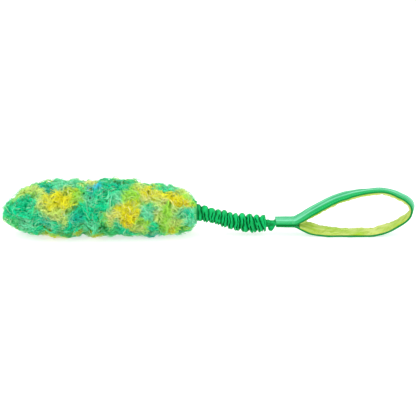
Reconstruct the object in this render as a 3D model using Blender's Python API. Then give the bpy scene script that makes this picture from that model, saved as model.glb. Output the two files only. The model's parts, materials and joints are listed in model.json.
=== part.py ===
"""Bungee tug toy: a stuffed fur roll, a gathered bungee and a webbing hand loop, laid on a flat surface.

Metres, +Z up. +X runs from the fur nose to the hand loop, and the origin is on the surface under the middle.
"""

import math

import bmesh
import bpy
from mathutils import Matrix, Vector

# Clearances that several pieces share
seam_gap = 0.0003
stitch_gap = 0.0002
cut_overrun = 0.004

# Fur body: a closed fur cover with its pile, lying on its belly
body_length = 0.266
body_radius = 0.040
belly_flat_depth = 0.001
fur_thickness = 0.012
body_sides = 32
pile_steps = 3
inner_steps = 1
# Along the body, radius, and height of the underside over the surface, the last two as shares of the radius
body_station_shares = (
    (0.000, 0.00, 0.78),
    (0.012, 0.30, 0.47),
    (0.035, 0.46, 0.34),
    (0.070, 0.62, 0.22),
    (0.110, 0.77, 0.14),
    (0.170, 0.91, 0.06),
    (0.250, 0.98, 0.00),
    (0.450, 0.99, 0.00),
    (0.620, 1.00, 0.00),
    (0.740, 0.95, 0.00),
    (0.850, 0.87, 0.05),
    (0.920, 0.78, 0.10),
    (0.962, 0.65, 0.19),
    (0.985, 0.50, 0.32),
)
mouth_underside_share = 0.47
# Tufts of the pile: waves along and round the body that raise and sink its outer skin
tuft_rise = 0.0022
tuft_sink = 0.001
tuft_length = 0.026
tuft_wander_length = 0.075
tuft_count = 9
tuft_lean = math.radians(95.0)
tuft_fade_length = 0.03
tuft_belly_share = 0.35

# Mouth of the cover, turned in over a hem that the bungee leaves through
mouth_opening_radius = 0.012
hem_thickness = 0.0021
hem_length = 0.014
hem_setback = 0.0015
hem_edge_radius = 0.0006

# Bag and stuffing inside the cover
bag_thickness = 0.001

# Strap that runs through the stuffing and takes the pull
body_strap_width = 0.020
body_strap_thickness = 0.002
strap_nose_margin = 0.003
tack_length = 0.003
tack_height = 0.0008
tack_side_margin = 0.001
tack_setback = 0.002
tack_room = 0.001

# Squeaker, lying on the strap in a pocket of the upper stuffing
# Its radius and height, as shares of the room inside the bag
squeaker_radius_share = 0.72
squeaker_height_share = 0.68
# Heights of its base and its cap, as a share of its height
squeaker_dish_share = 0.28
squeaker_wall = 0.0012
squeaker_crown = 0.002
bellows_fold = 0.003
bellows_wall = 0.0008
bellows_fold_count = 2
reed_radius = 0.004
reed_flange = 0.0018
reed_flange_thickness = 0.001
reed_bore_radius = 0.0012
pocket_clearance = 0.0005
squeaker_place_share = 0.52
squeaker_sides = 20

# Bungee: an elastic cord in a gathered fabric sleeve, drooping between the mouth and the neck
bungee_span = 0.097
mouth_pivot_depth = 0.001
neck_height = 0.0162
bungee_sag = 0.0052
# Along the span, and droop below the straight line as a share of the sag
droop_shares = ((0.0, 0.0), (0.2, 0.28), (0.4, 0.78), (0.55, 1.0), (0.7, 0.85), (0.85, 0.55), (1.0, 0.0))
route_steps = 8
cord_radius = 0.0032
cord_point_count = 16
rear_knot_radius = 0.005
neck_tie_radius = 0.0028
whipping_start = 0.0055
whipping_length = 0.0045
whipping_radius = 0.0052
whipping_groove = 0.0004
whipping_turn_count = 4
whipping_sides = 14
knot_sides = 14
knot_ring_count = 7

# Folds of the gathered sleeve
fold_count = 11
fold_radius = 0.0118
crease_radius = 0.0076
sleeve_bore_radius = 0.0056
sleeve_start = 0.001
sleeve_end = 0.0015
neck_radius = 0.0052
neck_bore_radius = 0.0037
neck_length = 0.004
fold_tilt = math.radians(7.0)
fold_wander = 0.0006
sleeve_sides = 16
# Radius of each fold as a share of the usual one, from the mouth to the neck
fold_radius_shares = (0.92, 0.98, 0.83, 0.88, 1.06, 0.99, 1.06, 1.09, 1.14, 1.04, 0.94)
# Places across one fold, and how far out the cloth stands there, as shares
fold_profile_shares = ((0.0, 0.0), (0.10, 0.50), (0.28, 0.88), (0.5, 1.0), (0.72, 0.88), (0.90, 0.50))

# Folded end of the sleeve, which goes between the two plies of the handle's tail
lump_radius = 0.0064
lump_drop = 0.0056
lump_clearance = 0.0004
tab_thickness = 0.0012
tab_width = 0.022
tab_length = 0.023
tab_sides = 20
# From the neck to the tail, then half height, half width and drop below the tail, as shares of the lump
lump_section_shares = (
    (0.00, 0.62, 0.66, 1.02),
    (0.08, 0.84, 0.86, 1.00),
    (0.22, 0.97, 0.97, 0.98),
    (0.40, 1.00, 1.02, 0.94),
    (0.58, 0.93, 1.06, 0.84),
    (0.76, 0.72, 1.16, 0.60),
    (0.90, 0.42, 1.36, 0.30),
)

# Handle: one strap of webbing whose ends are sewn together over the sleeve's tab, lined inside the loop
webbing_width = 0.025
webbing_thickness = 0.0022
webbing_edge = 0.0006
lining_thickness = 0.0026
lining_end_thickness = 0.0008
lining_taper = 0.014
lining_inset = 0.0003
tail_setback = 0.0104
tail_length = 0.0275
tail_height = 0.0182
ply_straight_end = 0.006
crotch_lead = 0.001
loop_length = 0.1601
loop_height = 0.0654
loop_skew = 0.0036
loop_reach = 0.0039
strap_steps = 3
ply_point_count = 3
# Middle of the webbing round the loop, as shares of the loop's length and height
loop_shares = (
    (0.030, 0.345),
    (0.120, 0.500),
    (0.215, 0.645),
    (0.330, 0.800),
    (0.480, 0.930),
    (0.610, 0.985),
    (0.728, 1.000),
    (0.809, 0.955),
    (0.888, 0.868),
    (0.950, 0.775),
    (0.988, 0.670),
    (1.000, 0.560),
    (0.987, 0.440),
    (0.950, 0.335),
    (0.888, 0.226),
    (0.809, 0.118),
    (0.729, 0.046),
    (0.648, 0.006),
    (0.560, 0.000),
    (0.420, 0.000),
    (0.300, 0.022),
    (0.205, 0.060),
    (0.140, 0.100),
    (0.078, 0.148),
    (0.024, 0.208),
)
# Along the strap from its upper end: how far the near edge stands above the far one, as a share of the skew,
# and how far the far edge is turned towards the loop's end, as a share of the reach
skew_shares = (
    (0.000, 0.00, 0.00),
    (0.058, 0.00, 0.00),
    (0.110, -0.30, 0.00),
    (0.190, -0.65, 0.00),
    (0.245, -0.40, 0.00),
    (0.285, 0.10, 0.00),
    (0.335, 0.80, 0.00),
    (0.380, 0.50, 0.12),
    (0.435, 0.00, 0.52),
    (0.480, 0.00, 0.95),
    (0.510, 0.00, 1.00),
    (0.560, 0.00, 0.65),
    (0.650, 0.00, 0.00),
    (0.790, 0.00, 0.00),
    (0.855, -0.95, 0.00),
    (0.900, -0.65, 0.00),
    (0.944, 0.00, 0.00),
    (1.000, 0.00, 0.00),
)

# Stitching of the tail
stitch_width = 0.0009
stitch_height = 0.0005
stitch_margin = 0.003
bar_tack_length = 0.0028
bar_tack_setback = 0.003

pivot_display_size = 0.01
smooth_angle = math.radians(40.0)

# Places that follow from the sizes above
toy_length = (
    body_length - mouth_pivot_depth + bungee_span + tail_setback + tail_length + loop_length + loop_reach
)
nose_x = -toy_length / 2
mouth_x = nose_x + body_length
mouth_radius = mouth_opening_radius + hem_thickness + seam_gap
mouth_pivot_x = mouth_x - mouth_pivot_depth
mouth_pivot_z = mouth_radius + mouth_underside_share * body_radius - belly_flat_depth
mouth_pivot = Vector((mouth_pivot_x, 0.0, mouth_pivot_z))
neck_pivot = Vector((mouth_pivot_x + bungee_span, 0.0, neck_height))
tail_x = neck_pivot.x + tail_setback
crotch_x = tail_x + tail_length
along_y = Vector((0.0, 1.0, 0.0))
along_z = Vector((0.0, 0.0, 1.0))


def material(name, colour, roughness):
    """A plain finish with the piece's colour"""
    finish = bpy.data.materials.new(name)
    finish.use_nodes = True
    shader = finish.node_tree.nodes["Principled BSDF"]
    shader.inputs["Base Color"].default_value = (*colour, 1.0)
    shader.inputs["Roughness"].default_value = roughness
    finish.diffuse_color = (*colour, 1.0)
    return finish


def world_place(item):
    """Where an unturned empty stands, counted up its chain of parents"""
    return item.location + (world_place(item.parent) if item.parent else Vector())


def pivot(name, place, carrier=None):
    """An empty on a joint, carried by the one before it"""
    empty = bpy.data.objects.new(name, None)
    empty.empty_display_size = pivot_display_size
    bpy.context.scene.collection.objects.link(empty)
    empty.parent = carrier
    empty.location = place - (world_place(carrier) if carrier else Vector())
    return empty


def piece(name, mesh, carrier, finish):
    """A named piece on its pivot, from a mesh whose points are where they lie in the toy"""
    mesh.name = name
    mesh.transform(Matrix.Translation(-world_place(carrier)))
    mesh.materials.append(finish)
    mesh.shade_smooth()
    mesh.set_sharp_from_angle(angle=smooth_angle)
    item = bpy.data.objects.new(name, mesh)
    bpy.context.scene.collection.objects.link(item)
    item.parent = carrier
    return item


def cut(item, name, mesh):
    """A Boolean cut, whose cutter stays as a wire guide"""
    mesh.transform(Matrix.Translation(-world_place(item.parent)))
    cutter = bpy.data.objects.new(name, mesh)
    bpy.context.scene.collection.objects.link(cutter)
    cutter.parent = item.parent
    cutter.hide_render = True
    cutter.display_type = "WIRE"
    step = item.modifiers.new(name, "BOOLEAN")
    step.operation = "DIFFERENCE"
    step.object = cutter


def run_slope(points, index):
    """Slope of a smooth curve at one of its points, leaning towards the nearer neighbour's side"""
    if index == 0:
        return (points[1] - points[0]).normalized()
    if index == len(points) - 1:
        return (points[-1] - points[-2]).normalized()
    behind = points[index] - points[index - 1]
    ahead = points[index + 1] - points[index]
    total = behind.length + ahead.length
    return (behind * (ahead.length / behind.length) + ahead * (behind.length / ahead.length)) / total


def smooth_run(points, steps):
    """Points of a smooth curve through the given ones"""
    run = []
    for index in range(len(points) - 1):
        start, end = points[index], points[index + 1]
        span = (end - start).length
        leave = run_slope(points, index) * span
        arrive = run_slope(points, index + 1) * span
        bend = 3 * (end - start) - 2 * leave - arrive
        turn = 2 * (start - end) + leave + arrive
        for step in range(steps):
            share = step / steps
            run.append(start + leave * share + bend * share**2 + turn * share**3)
    return [*run, points[-1]]


def skin(rings, joined=False):
    """A closed mesh over a run of rings; a ring of one point is a pole, and a wide end gets a cap"""
    shape = bmesh.new()
    loops = [[shape.verts.new(point) for point in ring] for ring in rings]
    pairs = list(zip(loops, loops[1:]))
    if joined:
        pairs.append((loops[-1], loops[0]))
    for near, far in pairs:
        count = max(len(near), len(far))
        for index in range(count):
            following = (index + 1) % count
            corners = [near[index % len(near)], near[following % len(near)]]
            corners += [far[following % len(far)], far[index % len(far)]]
            shape.faces.new(dict.fromkeys(corners))
    if not joined:
        for end in (loops[0], loops[-1]):
            if len(end) > 1:
                shape.faces.new(end)
    bmesh.ops.recalc_face_normals(shape, faces=shape.faces)
    mesh = bpy.data.meshes.new("shape")
    shape.to_mesh(mesh)
    shape.free()
    return mesh


def oval_ring(centre, across, upward, half_width, half_height, sides):
    """Points round an oval"""
    ring = []
    for index in range(sides):
        angle = 2 * math.pi * (index + 0.5) / sides
        ring.append(centre + across * half_width * math.cos(angle) + upward * half_height * math.sin(angle))
    return ring


def turned(profile, sides, centre, axle, joined=False):
    """A piece turned about an axle, from distances along it and radii; radius zero is a pole"""
    across = axle.orthogonal().normalized()
    upward = axle.cross(across)
    rings = []
    for along, radius in profile:
        middle = centre + axle * along
        rings.append(oval_ring(middle, across, upward, radius, radius, sides) if radius else [middle])
    return skin(rings, joined)


def block(low, high):
    """A plain block between two corners"""
    shape = bmesh.new()
    bmesh.ops.create_cube(shape, size=1.0)
    bmesh.ops.scale(shape, vec=high - low, verts=shape.verts)
    bmesh.ops.translate(shape, vec=(high + low) / 2, verts=shape.verts)
    mesh = bpy.data.meshes.new("block")
    shape.to_mesh(mesh)
    shape.free()
    return mesh


# Shape of the stuffed body


def body_run(inset):
    """Place, radius and height of the middle along the body, for a skin that lies inside the pile"""
    stations = [*body_station_shares, (1.0, mouth_radius / body_radius, mouth_underside_share)]
    scale = (body_radius - inset) / body_radius
    steps = inner_steps if inset else pile_steps
    run = []
    for share, radius_share, underside_share in smooth_run([Vector(row) for row in stations], steps):
        radius = radius_share * body_radius
        middle = radius + underside_share * body_radius - belly_flat_depth
        run.append(Vector((nose_x + inset + share * (body_length - 2 * inset), radius * scale, middle)))
    return run


def run_to_mouth(inset):
    """The same, stopped where the skin has drawn in to the mouth's radius"""
    run = body_run(inset)
    last = max(index for index, point in enumerate(run) if point.y > mouth_radius)
    if last + 1 < len(run):
        near, far = run[last], run[last + 1]
        share = (near.y - mouth_radius) / (near.y - far.y)
        run = [*run[: last + 1], near.lerp(far, share)]
    return run


def eased(share):
    """A share kept from 0 to 1, which starts and ends gently"""
    share = min(max(share, 0.0), 1.0)
    return share * share * (3 - 2 * share)


def tuft_height(along, turn):
    """How far the pile stands out of its plain outline; turns start at the top, and the belly and ends are plain"""
    wave = math.sin(2 * math.pi * along / tuft_length + tuft_lean * math.sin(2 * turn))
    wave *= math.sin(tuft_count * turn + tuft_lean * math.sin(2 * math.pi * along / tuft_wander_length))
    fade = eased(min(along, body_length - along) / tuft_fade_length)
    fade *= eased((1 + math.cos(turn)) / tuft_belly_share)
    return fade * (tuft_rise * wave - tuft_sink)


def body_rings(run, tufted=False):
    """Rings of the body, flat where they would pass below the surface"""
    rings = []
    for place, radius, middle in run:
        centre = Vector((place, 0.0, middle))
        ring = [centre]
        if radius > 0:
            ring = oval_ring(centre, along_y, along_z, radius, radius, body_sides)
            for point in ring:
                outward = (point - centre).normalized()
                if tufted:
                    turn = math.atan2(-outward.y, outward.z)
                    point += outward * tuft_height(place - nose_x, turn)
                point.z = max(point.z, 0.0)
        rings.append(ring)
    return rings


def mouth_ring(place):
    """A ring of the straight passage behind the mouth"""
    centre = Vector((place, 0.0, mouth_pivot_z))
    return oval_ring(centre, along_y, along_z, mouth_radius, mouth_radius, body_sides)


def shell_rings(outer_inset, inner_inset):
    """Outer skin from the nose to the mouth, then the inner skin back to the nose"""
    inner = run_to_mouth(inner_inset)
    outer = body_rings(run_to_mouth(outer_inset), tufted=not outer_inset)
    return [*outer, mouth_ring(inner[-1].x), *reversed(body_rings(inner[:-1]))]


bag_inset = fur_thickness + seam_gap
stuffing_inset = bag_inset + bag_thickness + seam_gap
strap_end_x = mouth_pivot_x - rear_knot_radius - seam_gap
strap_start_x = next(
    point.x for point in body_run(stuffing_inset) if point.y > body_strap_width / 2 + strap_nose_margin
)
strap_top_z = mouth_pivot_z + body_strap_thickness / 2
strap_under_z = mouth_pivot_z - body_strap_thickness / 2


def build_body(mount):
    """Cover, bag, stuffing, strap, tack and hem"""
    fur = material("fur", (0.45, 0.78, 0.32), 0.9)
    cotton = material("bag_cotton", (0.86, 0.86, 0.82), 0.9)
    wadding = material("wadding", (0.93, 0.93, 0.91), 0.95)
    webbing = material("body_webbing", (0.05, 0.55, 0.25), 0.8)
    piece("fur_cover", skin(shell_rings(0.0, fur_thickness)), mount, fur)
    piece("inner_bag", skin(shell_rings(bag_inset, bag_inset + bag_thickness)), mount, cotton)
    upper = piece("stuffing_upper", stuffing_half(strap_top_z + seam_gap, 1.0), mount, wadding)
    piece("stuffing_lower", stuffing_half(strap_under_z - seam_gap, -1.0), mount, wadding)
    cut_stuffing(upper)
    half_width = Vector((0.0, body_strap_width / 2, 0.0))
    strap_low = Vector((strap_start_x, 0.0, strap_under_z)) - half_width
    strap_high = Vector((strap_end_x, 0.0, strap_top_z)) + half_width
    piece("body_strap", block(strap_low, strap_high), mount, webbing)
    tack_half = Vector((0.0, body_strap_width / 2 - tack_side_margin, 0.0))
    tack_low = Vector((strap_start_x + tack_setback, 0.0, strap_top_z + stitch_gap)) - tack_half
    tack_high = tack_low + 2 * tack_half + Vector((tack_length, 0.0, tack_height))
    piece("nose_tack", block(tack_low, tack_high), mount, webbing)
    piece("mouth_hem", hem_mesh(), mount, cotton)


def stuffing_half(level, side):
    """The stuffing on one side of the strap"""
    mesh = skin(body_rings(run_to_mouth(stuffing_inset)))
    shape = bmesh.new()
    shape.from_mesh(mesh)
    geometry = [*shape.verts, *shape.edges, *shape.faces]
    sliced = bmesh.ops.bisect_plane(
        shape, geom=geometry, plane_co=(0.0, 0.0, level), plane_no=(0.0, 0.0, side), clear_inner=True
    )
    rim = [item for item in sliced["geom_cut"] if isinstance(item, bmesh.types.BMEdge)]
    bmesh.ops.edgeloop_fill(shape, edges=rim)
    bmesh.ops.recalc_face_normals(shape, faces=shape.faces)
    shape.to_mesh(mesh)
    shape.free()
    return mesh


def cut_stuffing(upper):
    """Pocket for the squeaker, and room for the tack at the nose"""
    floor = strap_top_z - cut_overrun
    pocket = ((0.0, 0.0), (0.0, pocket_radius), (squeaker_top_z - floor + pocket_clearance, pocket_radius))
    profile = (*pocket, (squeaker_top_z - floor + pocket_clearance, 0.0))
    cut(upper, "squeaker_pocket", turned(profile, squeaker_sides, squeaker_floor(floor), along_z))
    low = Vector((strap_start_x - cut_overrun, -body_strap_width / 2 - tack_room, floor))
    high = Vector(
        (
            strap_start_x + tack_setback + tack_length + tack_room,
            body_strap_width / 2 + tack_room,
            strap_top_z + stitch_gap + tack_height + tack_room,
        )
    )
    cut(upper, "tack_room", block(low, high))


def hem_mesh():
    """The rolled hem that lines the mouth"""
    outer = mouth_radius - seam_gap
    inner = mouth_opening_radius
    edge = hem_edge_radius
    profile = (
        (-hem_length, inner + edge),
        (-hem_length, outer - edge),
        (edge - hem_length, outer),
        (-edge, outer),
        (0.0, outer - edge),
        (0.0, inner + edge),
        (-edge, inner),
        (edge - hem_length, inner),
    )
    end = Vector((mouth_x - hem_setback, 0.0, mouth_pivot_z))
    return turned(profile, body_sides, end, Vector((1.0, 0.0, 0.0)), joined=True)


# Squeaker

squeaker_room = body_radius - stuffing_inset
squeaker_radius = squeaker_room * squeaker_radius_share
squeaker_height = squeaker_room * squeaker_height_share
squeaker_dish_height = squeaker_height * squeaker_dish_share
bellows_height = squeaker_height - 2 * squeaker_dish_height
squeaker_x = nose_x + squeaker_place_share * body_length
squeaker_low_z = strap_top_z + seam_gap
bellows_low_z = squeaker_low_z + squeaker_dish_height + seam_gap
bellows_high_z = bellows_low_z + bellows_height
cap_low_z = bellows_high_z + seam_gap
squeaker_top_z = cap_low_z + squeaker_dish_height
pocket_radius = squeaker_radius + pocket_clearance


def squeaker_floor(height):
    """The squeaker's middle at a height"""
    return Vector((squeaker_x, 0.0, height))


def base_profile():
    """A dish with a hole for the reed"""
    inside = squeaker_radius - squeaker_wall
    hole = reed_radius + seam_gap
    return (
        (0.0, hole),
        (0.0, squeaker_radius - squeaker_wall / 2),
        (squeaker_wall / 2, squeaker_radius),
        (squeaker_dish_height, squeaker_radius),
        (squeaker_dish_height, inside),
        (squeaker_wall, inside),
        (squeaker_wall, hole),
    )


def reed_profile():
    """A plug with a flange inside the base and an air way through it"""
    flange_low = squeaker_wall + seam_gap
    flange_high = flange_low + reed_flange_thickness
    return (
        (0.0, reed_bore_radius),
        (0.0, reed_radius),
        (flange_low, reed_radius),
        (flange_low, reed_radius + reed_flange),
        (flange_high, reed_radius + reed_flange),
        (flange_high, reed_bore_radius),
    )


def bellows_profile():
    """A thin folded wall, up its outside and down its inside"""
    levels = 2 * bellows_fold_count
    outside = []
    for index in range(levels + 1):
        depth = bellows_fold if index % 2 else 0.0
        outside.append((bellows_height * index / levels, squeaker_radius - depth))
    inside = [(height, radius - bellows_wall) for height, radius in reversed(outside)]
    return (*outside, *inside)


def cap_profile():
    """A crowned cap, closed at the top"""
    inside = squeaker_radius - squeaker_wall
    shoulder = squeaker_dish_height - squeaker_crown
    return (
        (squeaker_dish_height, 0.0),
        (squeaker_dish_height, squeaker_radius - squeaker_crown * 2),
        (shoulder + squeaker_crown / 2, squeaker_radius - squeaker_crown / 2),
        (shoulder, squeaker_radius),
        (0.0, squeaker_radius),
        (0.0, inside),
        (shoulder - squeaker_wall / 2, inside),
        (squeaker_dish_height - squeaker_wall, inside - squeaker_crown),
        (squeaker_dish_height - squeaker_wall, 0.0),
    )


def build_squeaker(mount, guide):
    """Base, reed and bellows stay with the body, and the cap is pressed in"""
    plastic = material("squeaker_plastic", (0.92, 0.92, 0.90), 0.45)
    low = squeaker_floor(squeaker_low_z)
    piece("squeaker_base", turned(base_profile(), squeaker_sides, low, along_z, joined=True), mount, plastic)
    piece("squeaker_reed", turned(reed_profile(), squeaker_sides, low, along_z, joined=True), mount, plastic)
    bellows_low = squeaker_floor(bellows_low_z)
    bellows = turned(bellows_profile(), squeaker_sides, bellows_low, along_z, joined=True)
    piece("squeaker_bellows", bellows, mount, plastic)
    cap_low = squeaker_floor(cap_low_z)
    piece("squeaker_cap", turned(cap_profile(), squeaker_sides, cap_low, along_z), guide, plastic)


# Route of the bungee, in real metres from the mouth to the neck


def bungee_route():
    """Smooth points of the droop between the two pivots"""
    points = []
    for share, droop in droop_shares:
        points.append(mouth_pivot.lerp(neck_pivot, share) - along_z * droop * bungee_sag)
    return smooth_run(points, route_steps)


route = bungee_route()
route_lengths = [0.0]
for start_point, end_point in zip(route, route[1:]):
    route_lengths.append(route_lengths[-1] + (end_point - start_point).length)
route_length = route_lengths[-1]


def route_frame(distance):
    """The place on the route, and the direction along it there"""
    index = next(
        (number for number, length in enumerate(route_lengths[1:]) if length >= distance), len(route) - 2
    )
    near, far = route[index], route[index + 1]
    share = (distance - route_lengths[index]) / (route_lengths[index + 1] - route_lengths[index])
    return near.lerp(far, share), (far - near).normalized()


def route_ring(distance, radius, tilt=0.0, wander=0.0):
    """A ring of the sleeve, which can lean and stand a little off the route"""
    place, along = route_frame(distance)
    lean = Matrix.Rotation(tilt, 3, "Y")
    upward = lean @ along.cross(along_y).normalized() * -1.0
    return oval_ring(place - upward * wander, along_y, upward, radius, radius, sleeve_sides)


def sleeve_mesh():
    """The gathered sleeve: folds outside from the mouth to the neck, then its plain bore back again"""
    folds_end = route_length - sleeve_end - neck_length
    pitch = (folds_end - sleeve_start) / fold_count
    outside = []
    for fold in range(fold_count):
        height = fold_radius * fold_radius_shares[fold % len(fold_radius_shares)] - crease_radius
        for share, rise in fold_profile_shares:
            turn = math.pi * (fold + share)
            radius = crease_radius + height * rise
            tilt = fold_tilt * math.sin(turn)
            wander = fold_wander * math.sin(turn * 2 / 3)
            outside.append(route_ring(sleeve_start + pitch * (fold + share), radius, tilt, wander))
    outside.append(route_ring(folds_end, crease_radius))
    outside.append(route_ring(folds_end + neck_length / 2, neck_radius))
    outside.append(route_ring(route_length - sleeve_end, neck_radius))
    bore = [route_ring(route_length - sleeve_end, neck_bore_radius)]
    bore.append(route_ring(folds_end + neck_length / 2, neck_bore_radius))
    for fold in range(fold_count, -1, -1):
        bore.append(route_ring(sleeve_start + pitch * fold, sleeve_bore_radius))
    return skin([*outside, *bore], joined=True)


def cord_curve():
    """The elastic cord, as a bevelled curve along the route"""
    curve = bpy.data.curves.new("bungee_cord", "CURVE")
    curve.dimensions = "3D"
    curve.bevel_depth = cord_radius
    curve.bevel_resolution = 2
    curve.use_fill_caps = True
    start = rear_knot_radius + seam_gap
    end = route_length - neck_tie_radius - seam_gap
    line = curve.splines.new("POLY")
    line.points.add(cord_point_count - 1)
    for index, point in enumerate(line.points):
        place, _ = route_frame(start + (end - start) * index / (cord_point_count - 1))
        point.co = (*(place - mouth_pivot), 1.0)
    return curve


def whipping_mesh(distance):
    """Turns of thread tied round the cord"""
    inner = cord_radius + seam_gap
    half = whipping_length / 2
    outside = []
    for index in range(2 * whipping_turn_count + 1):
        depth = 0.0 if index % 2 else whipping_groove
        outside.append((whipping_length * index / (2 * whipping_turn_count) - half, whipping_radius - depth))
    profile = (*outside, (half, inner), (-half, inner))
    place, along = route_frame(distance)
    return turned(profile, whipping_sides, place, along, joined=True)


def knot_mesh(centre, radius):
    """A round sewn lump centred on its pivot"""
    profile = []
    for index in range(knot_ring_count + 1):
        angle = math.pi * index / knot_ring_count
        ring_radius = radius * math.sin(angle) if 0 < index < knot_ring_count else 0.0
        profile.append((-radius * math.cos(angle), ring_radius))
    return turned(profile, knot_sides, centre, Vector((1.0, 0.0, 0.0)))


def build_bungee(rear_link, bungee, front_link, neck_link):
    """Knot, sleeve, cord, whippings and neck tie, each on the link that carries it"""
    emerald = material("sleeve_cloth", (0.0, 0.58, 0.22), 0.75)
    elastic = material("elastic", (0.90, 0.90, 0.88), 0.8)
    thread = material("thread", (0.02, 0.45, 0.18), 0.8)
    piece("rear_knot", knot_mesh(mouth_pivot, rear_knot_radius), rear_link, elastic)
    piece("bungee_sleeve", sleeve_mesh(), bungee, emerald)
    cord = bpy.data.objects.new("bungee_cord", cord_curve())
    bpy.context.scene.collection.objects.link(cord)
    cord.parent = bungee
    cord.data.materials.append(elastic)
    middle = whipping_start + whipping_length / 2
    piece("rear_whipping", whipping_mesh(middle), bungee, thread)
    piece("front_whipping", whipping_mesh(route_length - middle), front_link, thread)
    piece("neck_tie", knot_mesh(neck_pivot, neck_tie_radius), neck_link, thread)


# Handle

ply_step = (tab_thickness + webbing_thickness) / 2 + seam_gap
loop_run_length = loop_length - webbing_thickness / 2
loop_run_height = loop_height - webbing_thickness


def strap_run():
    """Middle of the webbing: out along the upper ply, round the loop and back along the lower ply"""
    upper = tail_height + ply_step
    lower = tail_height - ply_step
    ply_places = (tail_x, crotch_x - ply_straight_end, crotch_x - crotch_lead)
    points = [Vector((place, 0.0, upper)) for place in ply_places]
    for length_share, height_share in loop_shares:
        height = webbing_thickness / 2 + height_share * loop_run_height
        points.append(Vector((crotch_x + length_share * loop_run_length, 0.0, height)))
    points += [Vector((place, 0.0, lower)) for place in reversed(ply_places)]
    run = smooth_run(points, strap_steps)
    for point in run:
        point.z = max(point.z, webbing_thickness / 2)
    return run


def length_shares(run):
    """How far along the run each of its points lies, as a share of the whole"""
    lengths = [0.0]
    for near, far in zip(run, run[1:]):
        lengths.append(lengths[-1] + (far - near).length)
    return [length / lengths[-1] for length in lengths]


def strap_ways(run):
    """At each point of the strap, the way across its width and the way through it to the inside of the loop"""
    ways = []
    for index, place in enumerate(length_shares(run)):
        row = next(number for number in range(1, len(skew_shares)) if skew_shares[number][0] >= place)
        start, end = Vector(skew_shares[row - 1]), Vector(skew_shares[row])
        _, skew, reach = start.lerp(end, eased((place - start.x) / (end.x - start.x)))
        wide = Vector((2 * loop_reach * reach, 0.0, -loop_skew * skew)) / webbing_width
        wide.y = math.sqrt(1 - wide.length_squared)
        along = run[min(index + 1, len(run) - 1)] - run[max(index - 1, 0)]
        ways.append((wide, wide.cross(along).normalized()))
    return ways


def strap_section(point, wide, inward, thickness, width):
    """A flat section with eased edges, and a point in the middle of each face so that a skewed one bends there"""
    edge = min(webbing_edge, thickness / 3)
    half = thickness / 2
    side = width / 2
    corners = [(-side, edge - half), (-side, half - edge), (edge - side, half), (0.0, half), (side - edge, half)]
    corners += [(-place, -offset) for place, offset in corners]
    return [point + wide * place + inward * offset for place, offset in corners]


def strap_mesh():
    run = strap_run()
    rings = []
    for point, (wide, inward) in zip(run, strap_ways(run)):
        rings.append(strap_section(point, wide, inward, webbing_thickness, webbing_width))
    return skin(rings)


def lining_mesh():
    """The lining inside the loop, thin where it is caught in the seam at the tail"""
    run = strap_run()
    ways = strap_ways(run)
    first = ply_point_count * strap_steps
    last = len(run) - 1 - first
    lengths = [0.0]
    for index in range(first, last):
        lengths.append(lengths[-1] + (run[index + 1] - run[index]).length)
    rings = []
    for index in range(first, last + 1):
        from_end = min(lengths[index - first], lengths[-1] - lengths[index - first])
        share = min(from_end / lining_taper, 1.0)
        thickness = lining_end_thickness + (lining_thickness - lining_end_thickness) * share
        wide, inward = ways[index]
        middle = run[index] + inward * (webbing_thickness / 2 + seam_gap + thickness / 2)
        rings.append(strap_section(middle, wide, inward, thickness, webbing_width - 2 * lining_inset))
    return skin(rings)


def tab_mesh():
    """The folded end of the sleeve: a lump that flattens into a tab between the plies"""
    back_x = neck_pivot.x + neck_tie_radius + lump_clearance
    front_x = tail_x - seam_gap
    rings = []
    for along, height_share, width_share, drop_share in lump_section_shares:
        centre = Vector((back_x + along * (front_x - back_x), 0.0, tail_height - drop_share * lump_drop))
        half_width = width_share * lump_radius
        rings.append(oval_ring(centre, along_y, along_z, half_width, height_share * lump_radius, tab_sides))
    for distance in (0.0, tab_length):
        centre = Vector((front_x + distance, 0.0, tail_height))
        rings.append(oval_ring(centre, along_y, along_z, tab_width / 2, tab_thickness / 2, tab_sides))
    return skin(rings)


def frame_of_stitches(face_z, side):
    """Rows of stitching round the tail and down its middle, raised from one face of it"""
    start = tail_x + stitch_margin
    end = crotch_x - bar_tack_setback - bar_tack_length - stitch_margin
    half = webbing_width / 2 - stitch_margin
    columns = (start, start + stitch_width, end - stitch_width, end)
    middle = stitch_width / 2
    rows = (-half, stitch_width - half, -middle, middle, half - stitch_width, half)
    shape = bmesh.new()
    grid = [[shape.verts.new((x, y, face_z)) for y in rows] for x in columns]
    faces = []
    for column in range(len(columns) - 1):
        for row in range(len(rows) - 1):
            if column == 1 and row % 2:
                continue
            corners = [grid[column][row], grid[column + 1][row]]
            corners += [grid[column + 1][row + 1], grid[column][row + 1]]
            faces.append(shape.faces.new(corners))
    raised = bmesh.ops.extrude_face_region(shape, geom=faces, use_keep_orig=True)
    points = [item for item in raised["geom"] if isinstance(item, bmesh.types.BMVert)]
    bmesh.ops.translate(shape, vec=along_z * side * stitch_height, verts=points)
    bmesh.ops.recalc_face_normals(shape, faces=shape.faces)
    mesh = bpy.data.meshes.new("stitches")
    shape.to_mesh(mesh)
    shape.free()
    return mesh


def bar_tack(face_z, side):
    """A dense bar of thread across the tail where the loop opens"""
    end = crotch_x - bar_tack_setback
    half = webbing_width / 2 - stitch_margin / 2
    far_z = face_z + side * stitch_height
    low = Vector((end - bar_tack_length, -half, min(face_z, far_z)))
    return block(low, Vector((end, half, max(face_z, far_z))))


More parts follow.
